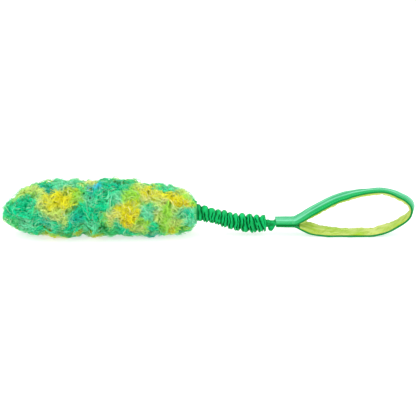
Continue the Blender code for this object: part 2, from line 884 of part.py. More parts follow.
def build_handle(handle):
    """Tab, strap, lining and stitching"""
    webbing = material("handle_webbing", (0.03, 0.62, 0.26), 0.8)
    fleece = material("handle_lining", (0.62, 0.80, 0.10), 0.9)
    emerald = material("tab_cloth", (0.0, 0.55, 0.22), 0.75)
    thread = material("handle_thread", (0.10, 0.66, 0.32), 0.8)
    piece("sleeve_tab", tab_mesh(), handle, emerald)
    piece("handle_strap", strap_mesh(), handle, webbing)
    piece("handle_lining", lining_mesh(), handle, fleece)
    upper = tail_height + ply_step + webbing_thickness / 2 + stitch_gap
    lower = tail_height - ply_step - webbing_thickness / 2 - stitch_gap
    piece("tail_stitch_top", frame_of_stitches(upper, 1.0), handle, thread)
    piece("tail_stitch_under", frame_of_stitches(lower, -1.0), handle, thread)
    piece("crotch_tack_top", bar_tack(upper, 1.0), handle, thread)
    piece("crotch_tack_under", bar_tack(lower, -1.0), handle, thread)


def build_toy():
    """Empties on the joints first, each carried by the one before it, then the pieces on them"""
    for item in list(bpy.data.objects):
        bpy.data.objects.remove(item)
    body_mount = pivot("body_mount", Vector())
    squeaker_guide = pivot("squeaker_guide", squeaker_floor(cap_low_z), body_mount)
    mouth_pitch = pivot("mouth_pitch", mouth_pivot, body_mount)
    mouth_yaw = pivot("mouth_yaw", mouth_pivot, mouth_pitch)
    stretch = pivot("bungee_stretch", neck_pivot, mouth_yaw)
    neck_yaw = pivot("neck_yaw", neck_pivot, stretch)
    neck_pitch = pivot("neck_pitch", neck_pivot, neck_yaw)
    build_body(body_mount)
    build_squeaker(body_mount, squeaker_guide)
    build_bungee(mouth_pitch, mouth_yaw, stretch, neck_yaw)
    build_handle(neck_pitch)


build_toy()
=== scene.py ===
"""Looks of the bungee tug toy: curly fur roll, gathered bungee sleeve and lined webbing hand loop.

Metres, +Z up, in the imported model's frame: +X runs from the nose of the fur to the hand loop.
"""
import json
import math
import random

import bmesh
import bpy
import numpy as np
from mathutils import Matrix, Vector
from mathutils.bvhtree import BVHTree


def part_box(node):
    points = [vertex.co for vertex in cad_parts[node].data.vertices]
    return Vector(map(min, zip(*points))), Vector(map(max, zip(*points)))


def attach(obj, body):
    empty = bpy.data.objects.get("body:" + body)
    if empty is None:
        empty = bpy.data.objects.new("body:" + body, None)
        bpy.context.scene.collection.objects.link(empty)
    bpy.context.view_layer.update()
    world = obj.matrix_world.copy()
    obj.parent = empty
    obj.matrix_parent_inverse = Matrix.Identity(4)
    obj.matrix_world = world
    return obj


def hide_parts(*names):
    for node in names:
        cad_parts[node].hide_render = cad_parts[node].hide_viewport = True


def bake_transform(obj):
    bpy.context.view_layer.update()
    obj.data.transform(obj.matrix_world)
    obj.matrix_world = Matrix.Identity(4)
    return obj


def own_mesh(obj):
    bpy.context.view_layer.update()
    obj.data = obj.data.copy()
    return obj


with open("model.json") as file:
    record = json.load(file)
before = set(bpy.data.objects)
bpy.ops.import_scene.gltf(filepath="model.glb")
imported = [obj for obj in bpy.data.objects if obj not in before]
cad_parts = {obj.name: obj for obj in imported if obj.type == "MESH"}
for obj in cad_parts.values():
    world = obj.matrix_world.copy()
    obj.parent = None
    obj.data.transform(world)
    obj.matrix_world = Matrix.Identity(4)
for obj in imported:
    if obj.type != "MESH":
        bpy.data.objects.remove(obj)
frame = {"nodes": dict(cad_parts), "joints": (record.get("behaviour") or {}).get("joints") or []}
bpy.ops.object.select_all(action="DESELECT")
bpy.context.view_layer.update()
nodes = frame["nodes"]
joint_places = {joint["name"]: Vector(joint.get("pos_m", (0, 0, 0))) for joint in frame["joints"]}
mouth_pivot = joint_places["bungee_pitch"]
neck_pivot = joint_places["handle_yaw"]
nose_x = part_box("fur_cover")[0][0]
mouth_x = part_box("fur_cover")[1][0]
along_y = Vector((0.0, 1.0, 0.0))
along_z = Vector((0.0, 0.0, 1.0))

# View of the photograph
view_elevation = math.radians(19.0)
view_distance = 1.15
view_width = 0.566
aim_height = 0.036
aim_from_nose = 0.280
sensor_width = 36.0
camera_clip_start = 0.01

# Studio: name, place, size across and power of each lamp
lamps = (
    ("key", (-0.6, -0.9, 1.5), 1.2, 9.0),
    ("fill", (1.2, -0.6, 0.9), 1.0, 3.0),
    ("top", (0.0, 0.5, 1.6), 1.4, 5.0),
)
world_strength = 1.15
floor_colour = 0.5
floor_glow = 0.62
floor_roughness = 0.9
floor_size = 8.0
floor_drop = 0.0002

# Pile of the fur: depth of the locks over the undercoat, and how they are laid
pile_depth = 0.0092
pile_mouth_depth = 0.0045
pile_reach_share = 1.1
pile_taper_share = 0.88
pile_step = 0.0005
station_count = 150
ray_reach = 0.2
undercoat_wall = 0.0016
undercoat_rows = 260
undercoat_sides = 144
lock_count = 2750
clusters_per_lock = 4
strands_per_cluster = 3
strands_per_lock = clusters_per_lock * strands_per_cluster
cluster_radius = 0.00026
strand_points = 8
strand_radius = 0.00030
strand_length = (0.0150, 0.0250)
lock_spread = 0.0021
lock_pinch = 0.62
lock_turn = (1.8, 5.0)
root_lift = math.radians(64.0)
tip_lift = math.radians(-16.0)
swirl_size = 0.020
tuft_size = 0.016
floor_gap = 0.0003
pile_piece_count = 7
mouth_lock_setback = 0.0008
undercoat_ripple = 0.0007
undercoat_ripple_size = 0.008
# Outline of the fur: rounds of smoothing, steps of smoothing each way, and a straight run on past the mouth
station_smooth_count = 3
profile_smooth_steps = 6
beyond_reach = (0.001, 0.020)
beyond_count = 20

# How locks, clusters and strands vary; turns in radians, the rest in metres or as shares
least_lock_weight = 0.002
lock_place_jitter = 0.4
lock_turn_jitter = 0.02
way_swirl = math.pi * 1.5
way_swirl_share = 2.4
way_jitter = 0.45
side_swirl_share = 1.5
side_jitter = 0.25
tuft_spread = 0.22
tuft_jitter = 0.08
tuft_limits = (0.55, 1.35)
cluster_reach = (0.78, 1.15)
cluster_bend = (0.7, 1.25)
cluster_way_jitter = 0.30
cluster_lift_jitter = 0.10
strand_way_jitter = 0.05
mouth_lock_share = 0.93
mouth_lock_reach = 0.7
stray_share = 0.03
stray_lift = 0.35
stray_pinch = 0.15
bend_power = 1.2
wave_swing = 0.5
wave_rate = 7.0
lift_power = 0.8
pinch_power = 0.7
strand_twist = 2.2
lock_edge_share = 1.5
strand_wobble = 0.0006
mouth_squeeze_share = 0.06
least_turn_radius = 0.010
probe_height = 0.001
least_fall = 0.00008
room_spread = (0.75, 1.3)
least_room = 0.0002
deepest_sink = 0.0005
room_hardness = 6
shallow_rise_share = 0.35
floor_scatter = 0.0005
strand_sides = 3
strand_radius_spread = (0.75, 1.25)
strand_taper_share = 0.72
strand_taper_power = 1.6
bake_across_shares = (0.2, 0.5, 0.8)
bake_margin_share = 0.12
tiny = 1e-9

# Soft noise: waves in each octave, spread of their sizes, and what brings their sum to about 1
noise_wave_count = 7
noise_size_spread = (0.6, 1.3)
noise_level = 3.2

# Tufts of the pile that the solid cover has too: waves along and round the body
tuft_rise = 0.0022
tuft_sink = 0.001
tuft_length = 0.026
tuft_wander_length = 0.075
tuft_count = 9
tuft_lean = math.radians(95.0)
tuft_fade_length = 0.03
tuft_belly_share = 0.35
tuft_share = 0.6

# Dyes of the fur, linear colours
dyes = {
    "emerald": (0.000, 0.800, 0.380),
    "teal": (0.000, 0.640, 0.420),
    "blue": (0.060, 0.640, 0.820),
    "green": (0.070, 0.780, 0.260),
    "mint": (0.190, 0.900, 0.500),
    "lime": (0.440, 0.900, 0.080),
    "pale_lime": (0.700, 0.940, 0.220),
    "olive": (0.620, 0.760, 0.040),
    "yellow": (0.960, 0.930, 0.020),
    "gold": (0.980, 0.830, 0.010),
    "cream": (0.880, 0.960, 0.290),
}
dye_limit = 0.96
lock_value_spread = 0.05
cluster_value_spread = 0.09
strand_value_spread = 0.05
# Pale clusters, a painted highlight for the fine light glints along the curls: share of clusters, how far
# each is paled, and the pale colour
pale_cluster_share = 0.18
pale_cluster_mix = (0.14, 0.44)
pale_fibre = (0.90, 0.96, 0.72)
# Dyed patches: dye, place along from the nose, turn from the top towards the front in degrees, reach
patches = (
    ("emerald", 0.029, 70, 0.017),
    ("emerald", 0.014, 60, 0.010),
    ("emerald", 0.044, 55, 0.012),
    ("green", 0.017, 115, 0.011),
    ("mint", 0.037, 115, 0.010),
    ("mint", 0.008, 15, 0.006),
    ("pale_lime", 0.033, 15, 0.010),
    ("lime", 0.043, 30, 0.005),
    ("pale_lime", 0.051, 20, 0.007),
    ("pale_lime", 0.056, 40, 0.008),
    ("teal", 0.061, 10, 0.007),
    ("teal", 0.070, 25, 0.007),
    ("mint", 0.083, 15, 0.009),
    ("mint", 0.094, 5, 0.009),
    ("olive", 0.099, 30, 0.007),
    ("lime", 0.105, 35, 0.006),
    ("yellow", 0.076, 50, 0.011),
    ("yellow", 0.088, 60, 0.013),
    ("gold", 0.085, 50, 0.007),
    ("gold", 0.094, 75, 0.008),
    ("pale_lime", 0.060, 65, 0.009),
    ("pale_lime", 0.065, 80, 0.009),
    ("pale_lime", 0.082, 85, 0.008),
    ("cream", 0.075, 90, 0.006),
    ("teal", 0.064, 100, 0.008),
    ("emerald", 0.054, 95, 0.009),
    ("emerald", 0.075, 110, 0.009),
    ("mint", 0.070, 105, 0.006),
    ("emerald", 0.049, 130, 0.007),
    ("olive", 0.065, 135, 0.006),
    ("pale_lime", 0.089, 105, 0.006),
    ("green", 0.097, 80, 0.008),
    ("lime", 0.109, 55, 0.008),
    ("green", 0.116, 25, 0.008),
    ("cream", 0.120, 0, 0.008),
    ("blue", 0.131, 25, 0.009),
    ("teal", 0.135, 5, 0.006),
    ("emerald", 0.144, 30, 0.012),
    ("emerald", 0.169, 20, 0.010),
    ("teal", 0.156, 10, 0.007),
    ("emerald", 0.135, 45, 0.011),
    ("mint", 0.121, 50, 0.007),
    ("mint", 0.154, 55, 0.010),
    ("emerald", 0.144, 75, 0.010),
    ("emerald", 0.116, 75, 0.009),
    ("teal", 0.107, 90, 0.009),
    ("emerald", 0.123, 90, 0.011),
    ("emerald", 0.134, 100, 0.009),
    ("mint", 0.125, 110, 0.009),
    ("emerald", 0.099, 115, 0.009),
    ("olive", 0.105, 135, 0.006),
    ("olive", 0.128, 150, 0.006),
    ("lime", 0.142, 100, 0.006),
    ("cream", 0.151, 90, 0.008),
    ("pale_lime", 0.152, 110, 0.007),
    ("yellow", 0.167, 75, 0.010),
    ("gold", 0.176, 95, 0.011),
    ("yellow", 0.172, 80, 0.009),
    ("yellow", 0.182, 75, 0.008),
    ("emerald", 0.159, 115, 0.006),
    ("lime", 0.176, 50, 0.010),
    ("lime", 0.184, 35, 0.009),
    ("yellow", 0.194, 30, 0.010),
    ("yellow", 0.205, 10, 0.008),
    ("pale_lime", 0.186, 10, 0.007),
    ("cream", 0.198, 45, 0.008),
    ("yellow", 0.179, 60, 0.008),
    ("mint", 0.196, 75, 0.007),
    ("emerald", 0.204, 60, 0.006),
    ("mint", 0.202, 85, 0.008),
    ("lime", 0.191, 110, 0.008),
    ("pale_lime", 0.188, 125, 0.008),
    ("emerald", 0.209, 115, 0.006),
    ("pale_lime", 0.214, 90, 0.006),
    ("emerald", 0.213, 15, 0.006),
    ("emerald", 0.223, 15, 0.006),
    ("mint", 0.233, -5, 0.008),
    ("yellow", 0.216, 35, 0.008),
    ("yellow", 0.228, 30, 0.008),
    ("pale_lime", 0.211, 55, 0.008),
    ("cream", 0.219, 45, 0.007),
    ("gold", 0.237, 50, 0.007),
    ("gold", 0.249, 45, 0.007),
    ("yellow", 0.240, 35, 0.007),
    ("pale_lime", 0.248, 5, 0.009),
    ("lime", 0.257, 30, 0.007),
    ("lime", 0.228, 75, 0.009),
    ("pale_lime", 0.237, 70, 0.007),
    ("teal", 0.249, 70, 0.006),
    ("emerald", 0.253, 80, 0.008),
    ("mint", 0.244, 70, 0.007),
    ("mint", 0.259, 65, 0.006),
    ("lime", 0.222, 110, 0.009),
    ("pale_lime", 0.237, 110, 0.010),
    ("mint", 0.254, 115, 0.011),
    ("lime", 0.245, 130, 0.008),
    ("yellow", 0.230, 140, 0.006),
    ("teal", 0.203, 150, 0.006),
    ("emerald", 0.168, 135, 0.008),
    ("green", 0.147, 130, 0.008),
)
patch_sharpness = 2.6
patch_spread = 0.037
patch_wander = 0.0030
patch_wander_size = 0.020
lock_jitter_size = 0.0016
strand_jitter_size = 0.0008
far_patch_count = 60
far_patch_reach = (0.008, 0.013)
far_patch_turns = (165, 325)
base_weight = 0.004
far_dyes = (
    "emerald", "teal", "green", "lime", "pale_lime", "yellow", "mint", "gold", "emerald", "cream", "yellow"
)

# Route of the bungee between its pivots: sag and droop are the solid model's
bungee_sag = 0.0052
droop_shares = ((0.0, 0.0), (0.2, 0.28), (0.4, 0.78), (0.55, 1.0), (0.7, 0.85), (0.85, 0.55), (1.0, 0.0))
route_steps = 24
route_lead = 0.012
read_step = 0.0004
cord_radius = 0.0032
rear_knot_radius = 0.005
neck_tie_radius = 0.0028

# Gathered sleeve: place of each fold along the span and its radius as a share, from the mouth to the neck
fold_radius = 0.0118
fold_place_shares = (0.026, 0.116, 0.217, 0.293, 0.387, 0.482, 0.556, 0.658, 0.772, 0.868, 0.955)
fold_radius_shares = (0.97, 0.98, 0.86, 0.90, 1.02, 0.98, 1.04, 1.08, 1.12, 1.04, 1.00)
# Lean of each fold, in degrees from square to the route, top towards the mouth
fold_lean_degrees = (13, 16, 12, 5, 9, 15, 9, 13, 15, 16, 12)
end_lean_share = -0.45
end_wander_share = 0.3
fold_slot_count = 5
slot_turn_step = math.radians(57.0)
end_slot_share = 0.5
crease_radius = 0.0072
sleeve_bore_radius = 0.0056
sleeve_back = 0.0055
sleeve_rows = 520
sleeve_sides = 112
sleeve_collar_radius = 0.0113
fold_wander = 0.0009
fade_size = 0.009
slot_half_width = 0.00075
sleeve_neck_radius = 0.0052
sleeve_neck_length = 0.0006
sleeve_end_gap = 0.0012
neck_ball_radius = 0.0050
# Edges of the folds wander round the sleeve in waves of these orders
wander_orders = (2, 3, 5, 8, 13)
wander_strength = (0.5, 1.0)
wander_fall_power = 0.6
swell_orders = (1, 2, 3)
swell_share = 0.08
ridge_round_power = 2.4
ridge_top_power = 0.75
slot_first_turn = (0.9, 1.4)
slot_turn_jitter = 0.2
slot_slant = 0.0009
slot_place_jitter = 0.25
slot_turn_width = (0.34, 0.66)
slot_width_spread = (0.75, 1.25)
slot_depth_shares = (0.70, 1.0)
cloth_ripple = 0.00016
cloth_ripple_count = 23
cloth_ripple_sway = 5
cloth_ripple_rate = 700
# Painted shade in the creases between the folds: gain and start over the ridge height, then the middle,
# spread and limits of a soft noise that varies it
crease_gain = 1.25
crease_start = 0.12
fade_middle = 0.82
fade_spread = 0.30
fade_limits = (0.45, 1.0)
# Ends of the sleeve: the neck that it thins to, the collar in the mouth, and how much painted shade their
# creases get
neck_lead = 0.0016
neck_slack = 0.0002
neck_gather_depth = 0.00028
neck_gather_count = 12
neck_crease = 0.45
collar_ripple_share = 0.03
collar_ripple_count = 17
collar_sway = 2
collar_sway_count = 3
collar_crease = 0.5
sleeve_tuck = 0.0012
bore_rows = 60
# Painted shade all through the bore
bore_crease = 0.8
bore_neck_radius = 0.0037
bore_neck_start = 0.008
bore_neck_length = 0.004
gathered_share = 1.6
seam_cloth_length = 0.001
# Braid of the elastic core, and pleats of the ball at the neck
core_rows = 240
core_sides = 40
braid_count = 5
braid_rate = 900
braid_groove = 0.00035
braid_rise = 0.00017
neck_rows = 44
neck_sides = 72
neck_pole_turn = 0.06
neck_pleat_depth = 0.00030
# Painted shade in the troughs of the neck's pleats: its usual amount and its swing
neck_pleat_creases = (0.20, 0.35)

# Lump and tab of the sleeve behind the handle
# From the neck to the tail, then half height, half width and drop below the tail, as shares of the lump
lump_radius = 0.0064
lump_drop = 0.0056
lump_setback = 0.0001
tab_thickness = 0.0010
tab_width = 0.0195
tab_length = 0.023
lump_section_shares = (
    (0.00, 0.66, 0.40, 0.92),
    (0.05, 0.84, 0.55, 0.93),
    (0.14, 0.99, 0.72, 0.95),
    (0.28, 1.07, 0.90, 0.97),
    (0.44, 1.09, 1.02, 0.97),
    (0.60, 1.02, 1.04, 0.90),
    (0.76, 0.82, 1.14, 0.70),
    (0.90, 0.48, 1.34, 0.38),
)
lump_rows = 70
lump_sides = 72
lump_pleat_count = 9
lump_pleat_depth = 0.0005
lump_smooth_steps = 3
lump_round_length = 0.0016
lump_end_share = 0.80
pleat_fade_start_share = 0.35
pleat_fade_length_share = 0.8
pleat_sway = 0.25
# Painted shade in the troughs of the lump's pleats: its usual amount and its swing
pleat_creases = (0.04, 0.55)
tab_lead = 0.001
tab_rows = 24

# Handle strap: the sizes are the solid model's
webbing_width = 0.025
webbing_thickness = 0.0022
tab_room = 0.0012
lining_thickness = 0.0026
lining_end_thickness = 0.0008
lining_taper = 0.014
lining_inset = 0.0003
seam_gap = 0.0003
tail_setback = 0.0104
tail_length = 0.0275
tail_height = 0.0182
ply_straight_end = 0.006
crotch_lead = 0.001
loop_length = 0.1601
loop_height = 0.0654
loop_skew = 0.0036
loop_reach = 0.0039
ply_point_count = 3
strap_steps = 12
# Middle of the webbing round the loop, as shares of the loop's length and height
loop_shares = (
    (0.030, 0.350),
    (0.120, 0.507),
    (0.215, 0.652),
    (0.330, 0.806),
    (0.480, 0.930),
    (0.610, 0.985),
    (0.728, 1.000),
    (0.809, 0.955),
    (0.888, 0.868),
    (0.950, 0.775),
    (0.988, 0.670),
    (1.000, 0.560),
    (0.987, 0.440),
    (0.950, 0.335),
    (0.888, 0.226),
    (0.809, 0.118),
    (0.729, 0.046),
    (0.648, 0.006),
    (0.560, 0.000),
    (0.420, 0.000),
    (0.300, 0.020),
    (0.205, 0.052),
    (0.140, 0.090),
    (0.078, 0.144),
    (0.024, 0.208),
)
# Along the strap from its upper end: how far the near edge stands above the far one, as a share of the skew,
# and how far the far edge is turned towards the loop's end, as a share of the reach
skew_shares = (
    (0.000, -0.75, 0.00),
    (0.040, -0.95, 0.00),
    (0.075, -1.15, 0.00),
    (0.130, -1.25, 0.00),
    (0.190, -1.00, 0.00),
    (0.245, -0.60, 0.00),
    (0.285, 0.10, 0.00),
    (0.335, 0.80, 0.00),
    (0.380, 0.50, 0.12),
    (0.435, 0.00, 0.52),
    (0.480, 0.00, 0.95),
    (0.510, 0.00, 1.00),
    (0.560, 0.00, 0.65),
    (0.650, 0.00, 0.00),
    (0.770, 0.00, 0.00),
    (0.835, -1.10, 0.00),
    (0.880, -1.90, 0.00),
    (0.908, -1.50, 0.00),
    (0.935, -1.10, 0.00),
    (0.960, -0.95, 0.00),
    (1.000, -0.75, 0.00),
)
# Edges of the webbing curl in along the upper strand: place along the strap and curl as a share
edge_curl = 0.0011
edge_curl_width = 0.0085
curl_shares = ((0.0, 0.0), (0.07, 0.0), (0.14, 1.0), (0.34, 1.0), (0.46, 0.3), (0.52, 0.0), (1.0, 0.0))
# The two plies of the tail are sewn flat together outside the tab
tail_pinch = 0.0006
tail_pinch_width = 0.0035
# Thickness of the lining along the strap, as a share
lining_shares = ((0.0, 0.6), (0.10, 0.62), (0.24, 0.7), (0.34, 1.0), (0.40, 1.15), (0.48, 1.0), (1.0, 1.0))
strap_row_step = 0.0011
webbing_columns = 24
webbing_edge_steps = 3
lining_columns = 26
lining_edge_steps = 4
# Weave of the webbing: ribs that slant back and forth in columns
rib_pitch = 0.0013
rib_column_width = 0.0042
rib_slant = 2.6
# Ends of the tail, and height of a ply over its middle
tail_x = neck_pivot.x + tail_setback
crotch_x = tail_x + tail_length
ply_step = (tab_room + webbing_thickness) / 2 + seam_gap

# Stitching
seam_inset = 0.0030
stitch_length = 0.0025
stitch_pitch = 0.0031
stitch_radius = 0.00028
stitch_margin = 0.003
stitch_sink = 0.00008
bar_tack_length = 0.0028
bar_tack_setback = 0.003
bar_tack_thread_count = 9
seam_groove = 0.00035
rim_groove = 0.0002
seam_groove_width = 0.0009
seam_slack_share = 0.45
rim_groove_width = 0.0008
# Painted shade as a saturated rim where the webbing's edge turns from the light: its fade width, how much of
# it comes with the curl, and its share on the far side
rim_fade_width = 0.0012
rim_curl_share = 0.30
far_rim_share = 0.15
# Painted shade on the webbing's rounded edges: where it starts and fades across the width, and its share in
# the groove where the curl begins, plain and curled
edge_start_share = 0.88
edge_fade_share = 0.08
edge_crease_shares = (0.35, 0.55)
# Waves of the webbing's edges: depth, rate along the strap and start
edge_waves = ((0.00025, 190, 0), (0.00018, 431, 1))
edge_wave_power = 4

# Surface of the lining: crown, dips at its seams, wrinkles and wavy edges
crown_share = 0.10
dip_depth = 0.00034
dip_width = 0.0011
dip_pucker = 0.0002
wrinkle_depth = 0.0005
wrinkle_middle_share = 0.4
wrinkle_size = 0.011
wrinkle_slant_shares = (0.45, 0.5)
edge_fold_size = 0.017
edge_fold_depth = 0.0003
edge_draw = 0.0002
edge_pucker = 0.00022
# Painted shade of the lining in the dips at its seams and in the troughs of its wrinkles, and its most
dip_crease = 0.16
wrinkle_crease = 0.5
deepest_crease = 0.6

# Shape of a stitch: how far its ends thin and sink, and how deep the loop's seams lie in the cloth
stitch_sides = 6
stitch_cuts = 3
stitch_thin_share = 0.45
stitch_sink_share = 0.2
stitch_bow_share = 1.1
outer_seam_share = 0.8
inner_seam_depth = 0.0004
seam_read_step = 0.0005
seam_read_height = 0.001
floor_seam_share = 1.5

# Pieces inside the toy
hem_wall = 0.0021
hem_wall_share = 0.9
hem_turns = 120
hem_sides = 40
hem_gather_depth = 0.00022
hem_gather_count = 30
hem_gather_sway = 0.6
hem_sway_count = 4
hem_cloth_length = 0.03
hem_square_power = 0.5
bag_depth = 0.0123
bag_gap = 0.0001
bag_wall = 0.0008
bag_rows = 150
bag_sides = 96
bag_start_share = 0.002
bag_end_setback = 0.0150
bag_wrinkle_depth = 0.00022
bag_wrinkle_size = 0.010
bag_wrinkle_stretch = (0.35, 1.0, 1.0)
bag_cloth_width = 0.17
wadding_voxel = 0.0018
wadding_lump_depth = 0.0009
wadding_lump_size = 0.013
wadding_lump_share = 0.45
merge_distance = 0.00001


def set_camera():
    """A camera square to the toy's length, looking a little down on it"""
    away = Vector((0.0, -math.cos(view_elevation), math.sin(view_elevation)))
    place = Vector((nose_x + aim_from_nose, 0.0, aim_height)) + away * view_distance
    bpy.ops.object.camera_add(location=place, rotation=(math.pi / 2 - view_elevation, 0.0, 0.0))
    camera = bpy.context.object
    camera.name = "view_camera"
    camera.data.sensor_fit = "HORIZONTAL"
    camera.data.sensor_width = sensor_width
    camera.data.lens = sensor_width * view_distance / view_width
    camera.data.clip_start = camera_clip_start
    camera.data.dof.use_dof = False
    bpy.context.scene.camera = camera


def set_floor_and_light():
    """Pale floor lit from below a little, big soft lamps and a bright even world"""
    bpy.ops.mesh.primitive_plane_add(size=floor_size, location=(0.0, 0.0, -floor_drop))
    floor = bpy.context.object
    floor.name = "studio_floor"
    paper = bpy.data.materials.new("studio_paper")
    paper.use_nodes = True
    shader = paper.node_tree.nodes["Principled BSDF"]
    shader.inputs["Base Color"].default_value = (floor_colour, floor_colour, floor_colour, 1.0)
    shader.inputs["Roughness"].default_value = floor_roughness
    shader.inputs["Emission Color"].default_value = (1.0, 1.0, 1.0, 1.0)
    shader.inputs["Emission Strength"].default_value = floor_glow
    floor.data.materials.append(paper)
    world = bpy.data.worlds.new("studio_world")
    world.use_nodes = True
    background = world.node_tree.nodes["Background"]
    background.inputs["Color"].default_value = (1.0, 1.0, 1.0, 1.0)
    background.inputs["Strength"].default_value = world_strength
    bpy.context.scene.world = world
    for name, place, size, power in lamps:
        bpy.ops.object.light_add(type="AREA", location=place)
        lamp = bpy.context.object
        lamp.name = name + "_light"
        lamp.data.size = size
        lamp.data.energy = power
        aim = Vector((0.0, 0.0, aim_height)) - Vector(place)
        lamp.rotation_euler = aim.to_track_quat("-Z", "Y").to_euler()
    bpy.context.scene.view_settings.view_transform = "Standard"


# Shader helpers


def feed(tree, socket, value):
    """An input socket linked to another socket, or set to a value"""
    if isinstance(value, bpy.types.NodeSocket):
        tree.links.new(value, socket)
    else:
        socket.default_value = value


def add_node(tree, kind, inputs=(), **settings):
    """A node with its settings, and its inputs either set or linked"""
    node = tree.nodes.new(kind)
    for name, value in settings.items():
        setattr(node, name, value)
    for name, value in inputs:
        feed(tree, node.inputs[name], value)
    return node


def maths(tree, operation, first, second=0.0, third=0.0):
    """The result of a Math node"""
    inputs = ((0, first), (1, second), (2, third))
    return add_node(tree, "ShaderNodeMath", inputs, operation=operation).outputs[0]


def blend_colours(tree, share, first, second, mode="MIX"):
    """Two colours mixed by a share"""
    mix = add_node(tree, "ShaderNodeMix", data_type="RGBA", blend_type=mode, clamp_factor=True)
    for index, value in ((0, share), (6, first), (7, second)):
        feed(tree, mix.inputs[index], (*value, 1.0) if isinstance(value, tuple) else value)
    return mix.outputs[2]


def remap(tree, value, low, high, new_low=0.0, new_high=1.0):
    """A value moved from one range to another and kept inside it"""
    inputs = ((0, value), (1, low), (2, high), (3, new_low), (4, new_high))
    return add_node(tree, "ShaderNodeMapRange", inputs, clamp=True).outputs[0]


def new_group(name, inputs, outputs):
    """An empty node group with named inputs and outputs, and its two end nodes"""
    tree = bpy.data.node_groups.new(name, "ShaderNodeTree")
    for label, kind, start in inputs:
        socket = tree.interface.new_socket(name=label, in_out="INPUT", socket_type=kind)
        if start is not None:
            socket.default_value = start
    for label, kind in outputs:
        tree.interface.new_socket(name=label, in_out="OUTPUT", socket_type=kind)
    return tree, tree.nodes.new("NodeGroupInput"), tree.nodes.new("NodeGroupOutput")


def fibre_grain_group():
    """Fine fibres drawn out along one way, with patches of lighter and darker yarn"""
    inputs = (
        ("Vector", "NodeSocketVector", None),
        ("Stretch", "NodeSocketVector", (1.0, 1.0, 1.0)),
        ("Fibre Scale", "NodeSocketFloat", 2500.0),
        ("Patch Scale", "NodeSocketFloat", 60.0),
    )
    outputs = (("Fibre", "NodeSocketFloat"), ("Patch", "NodeSocketFloat"))
    tree, start, end = new_group("fibre_grain", inputs, outputs)
    ways = ((0, start.outputs["Vector"]), (1, start.outputs["Stretch"]))
    stretched = add_node(tree, "ShaderNodeVectorMath", ways, operation="MULTIPLY")
    for label, detail in (("Fibre", 3.0), ("Patch", 2.0)):
        scale = start.outputs[label + " Scale"]
        settings = (("Vector", stretched.outputs[0]), ("Scale", scale), ("Detail", detail))
        noise = add_node(tree, "ShaderNodeTexNoise", settings)
        tree.links.new(noise.outputs["Fac"], end.inputs[label])
    return tree


def ridges(tree, value):
    """A wave with one rounded ridge for each whole step of a value"""
    return maths(tree, "ABSOLUTE", maths(tree, "SINE", maths(tree, "MULTIPLY", value, math.pi)))


def plain_weave_group():
    """Over-and-under threads on a cloth map in metres"""
    inputs = (("Vector", "NodeSocketVector", None), ("Threads", "NodeSocketFloat", 2500.0))
    tree, start, end = new_group("plain_weave", inputs, (("Height", "NodeSocketFloat"),))
    split = add_node(tree, "ShaderNodeSeparateXYZ", ((0, start.outputs["Vector"]),))
    across = maths(tree, "MULTIPLY", split.outputs[0], start.outputs["Threads"])
    down = maths(tree, "MULTIPLY", split.outputs[1], start.outputs["Threads"])
    cells = maths(tree, "ADD", maths(tree, "FLOOR", across), maths(tree, "FLOOR", down))
    over = maths(tree, "ABSOLUTE", maths(tree, "SINE", maths(tree, "MULTIPLY", cells, math.pi / 2)))
    one_way = maths(tree, "MULTIPLY", ridges(tree, across), over)
    other_way = maths(tree, "MULTIPLY", ridges(tree, down), maths(tree, "SUBTRACT", 1.0, over))
    tree.links.new(maths(tree, "ADD", one_way, other_way), end.inputs["Height"])
    return tree


def webbing_weave_group():
    """Slanting ribs that turn back and forth in columns, on a cloth map in metres"""
    inputs = (
        ("Vector", "NodeSocketVector", None),
        ("Rib Pitch", "NodeSocketFloat", rib_pitch),
        ("Column", "NodeSocketFloat", rib_column_width),
    )
    tree, start, end = new_group("webbing_weave", inputs, (("Height", "NodeSocketFloat"),))
    split = add_node(tree, "ShaderNodeSeparateXYZ", ((0, start.outputs["Vector"]),))
    column = maths(tree, "DIVIDE", split.outputs[0], start.outputs["Column"])
    fold = maths(tree, "ABSOLUTE", maths(tree, "SUBTRACT", maths(tree, "FRACT", column), 0.5))
    slant = maths(tree, "MULTIPLY", fold, rib_slant)
    rib = maths(tree, "ADD", maths(tree, "DIVIDE", split.outputs[1], start.outputs["Rib Pitch"]), slant)
    edge = remap(tree, fold, 0.0, 0.06, 0.45, 1.0)
    tree.links.new(maths(tree, "MULTIPLY", ridges(tree, rib), edge), end.inputs["Height"])
    return tree


# Effects that several finishes share
groups = {"grain": fibre_grain_group(), "weave": plain_weave_group(), "webbing": webbing_weave_group()}


def placed_group(tree, name, inputs):
    """A shared effect placed in a finish"""
    return add_node(tree, "ShaderNodeGroup", inputs, node_tree=groups[name])


def new_finish(name, roughness, **sockets):
    """A material and its shader, with the values that are the same all over"""
    finish = bpy.data.materials.new(name)
    finish.use_nodes = True
    shader = finish.node_tree.nodes["Principled BSDF"]
    shader.inputs["Roughness"].default_value = roughness
    for label, value in sockets.items():
        shader.inputs[label.replace("_", " ")].default_value = value
    return finish, finish.node_tree, shader


def object_place(tree):
    """Places in the object's own metres"""
    return tree.nodes.new("ShaderNodeTexCoord").outputs["Object"]


def cloth_place(tree):
    """Places on the cloth, laid flat, in metres"""
    return add_node(tree, "ShaderNodeUVMap", uv_map="cloth").outputs["UV"]


def surface_value(tree, name, output="Fac"):
    """A value, or a colour, that the mesh holds at each point"""
    return add_node(tree, "ShaderNodeAttribute", attribute_name=name).outputs[output]


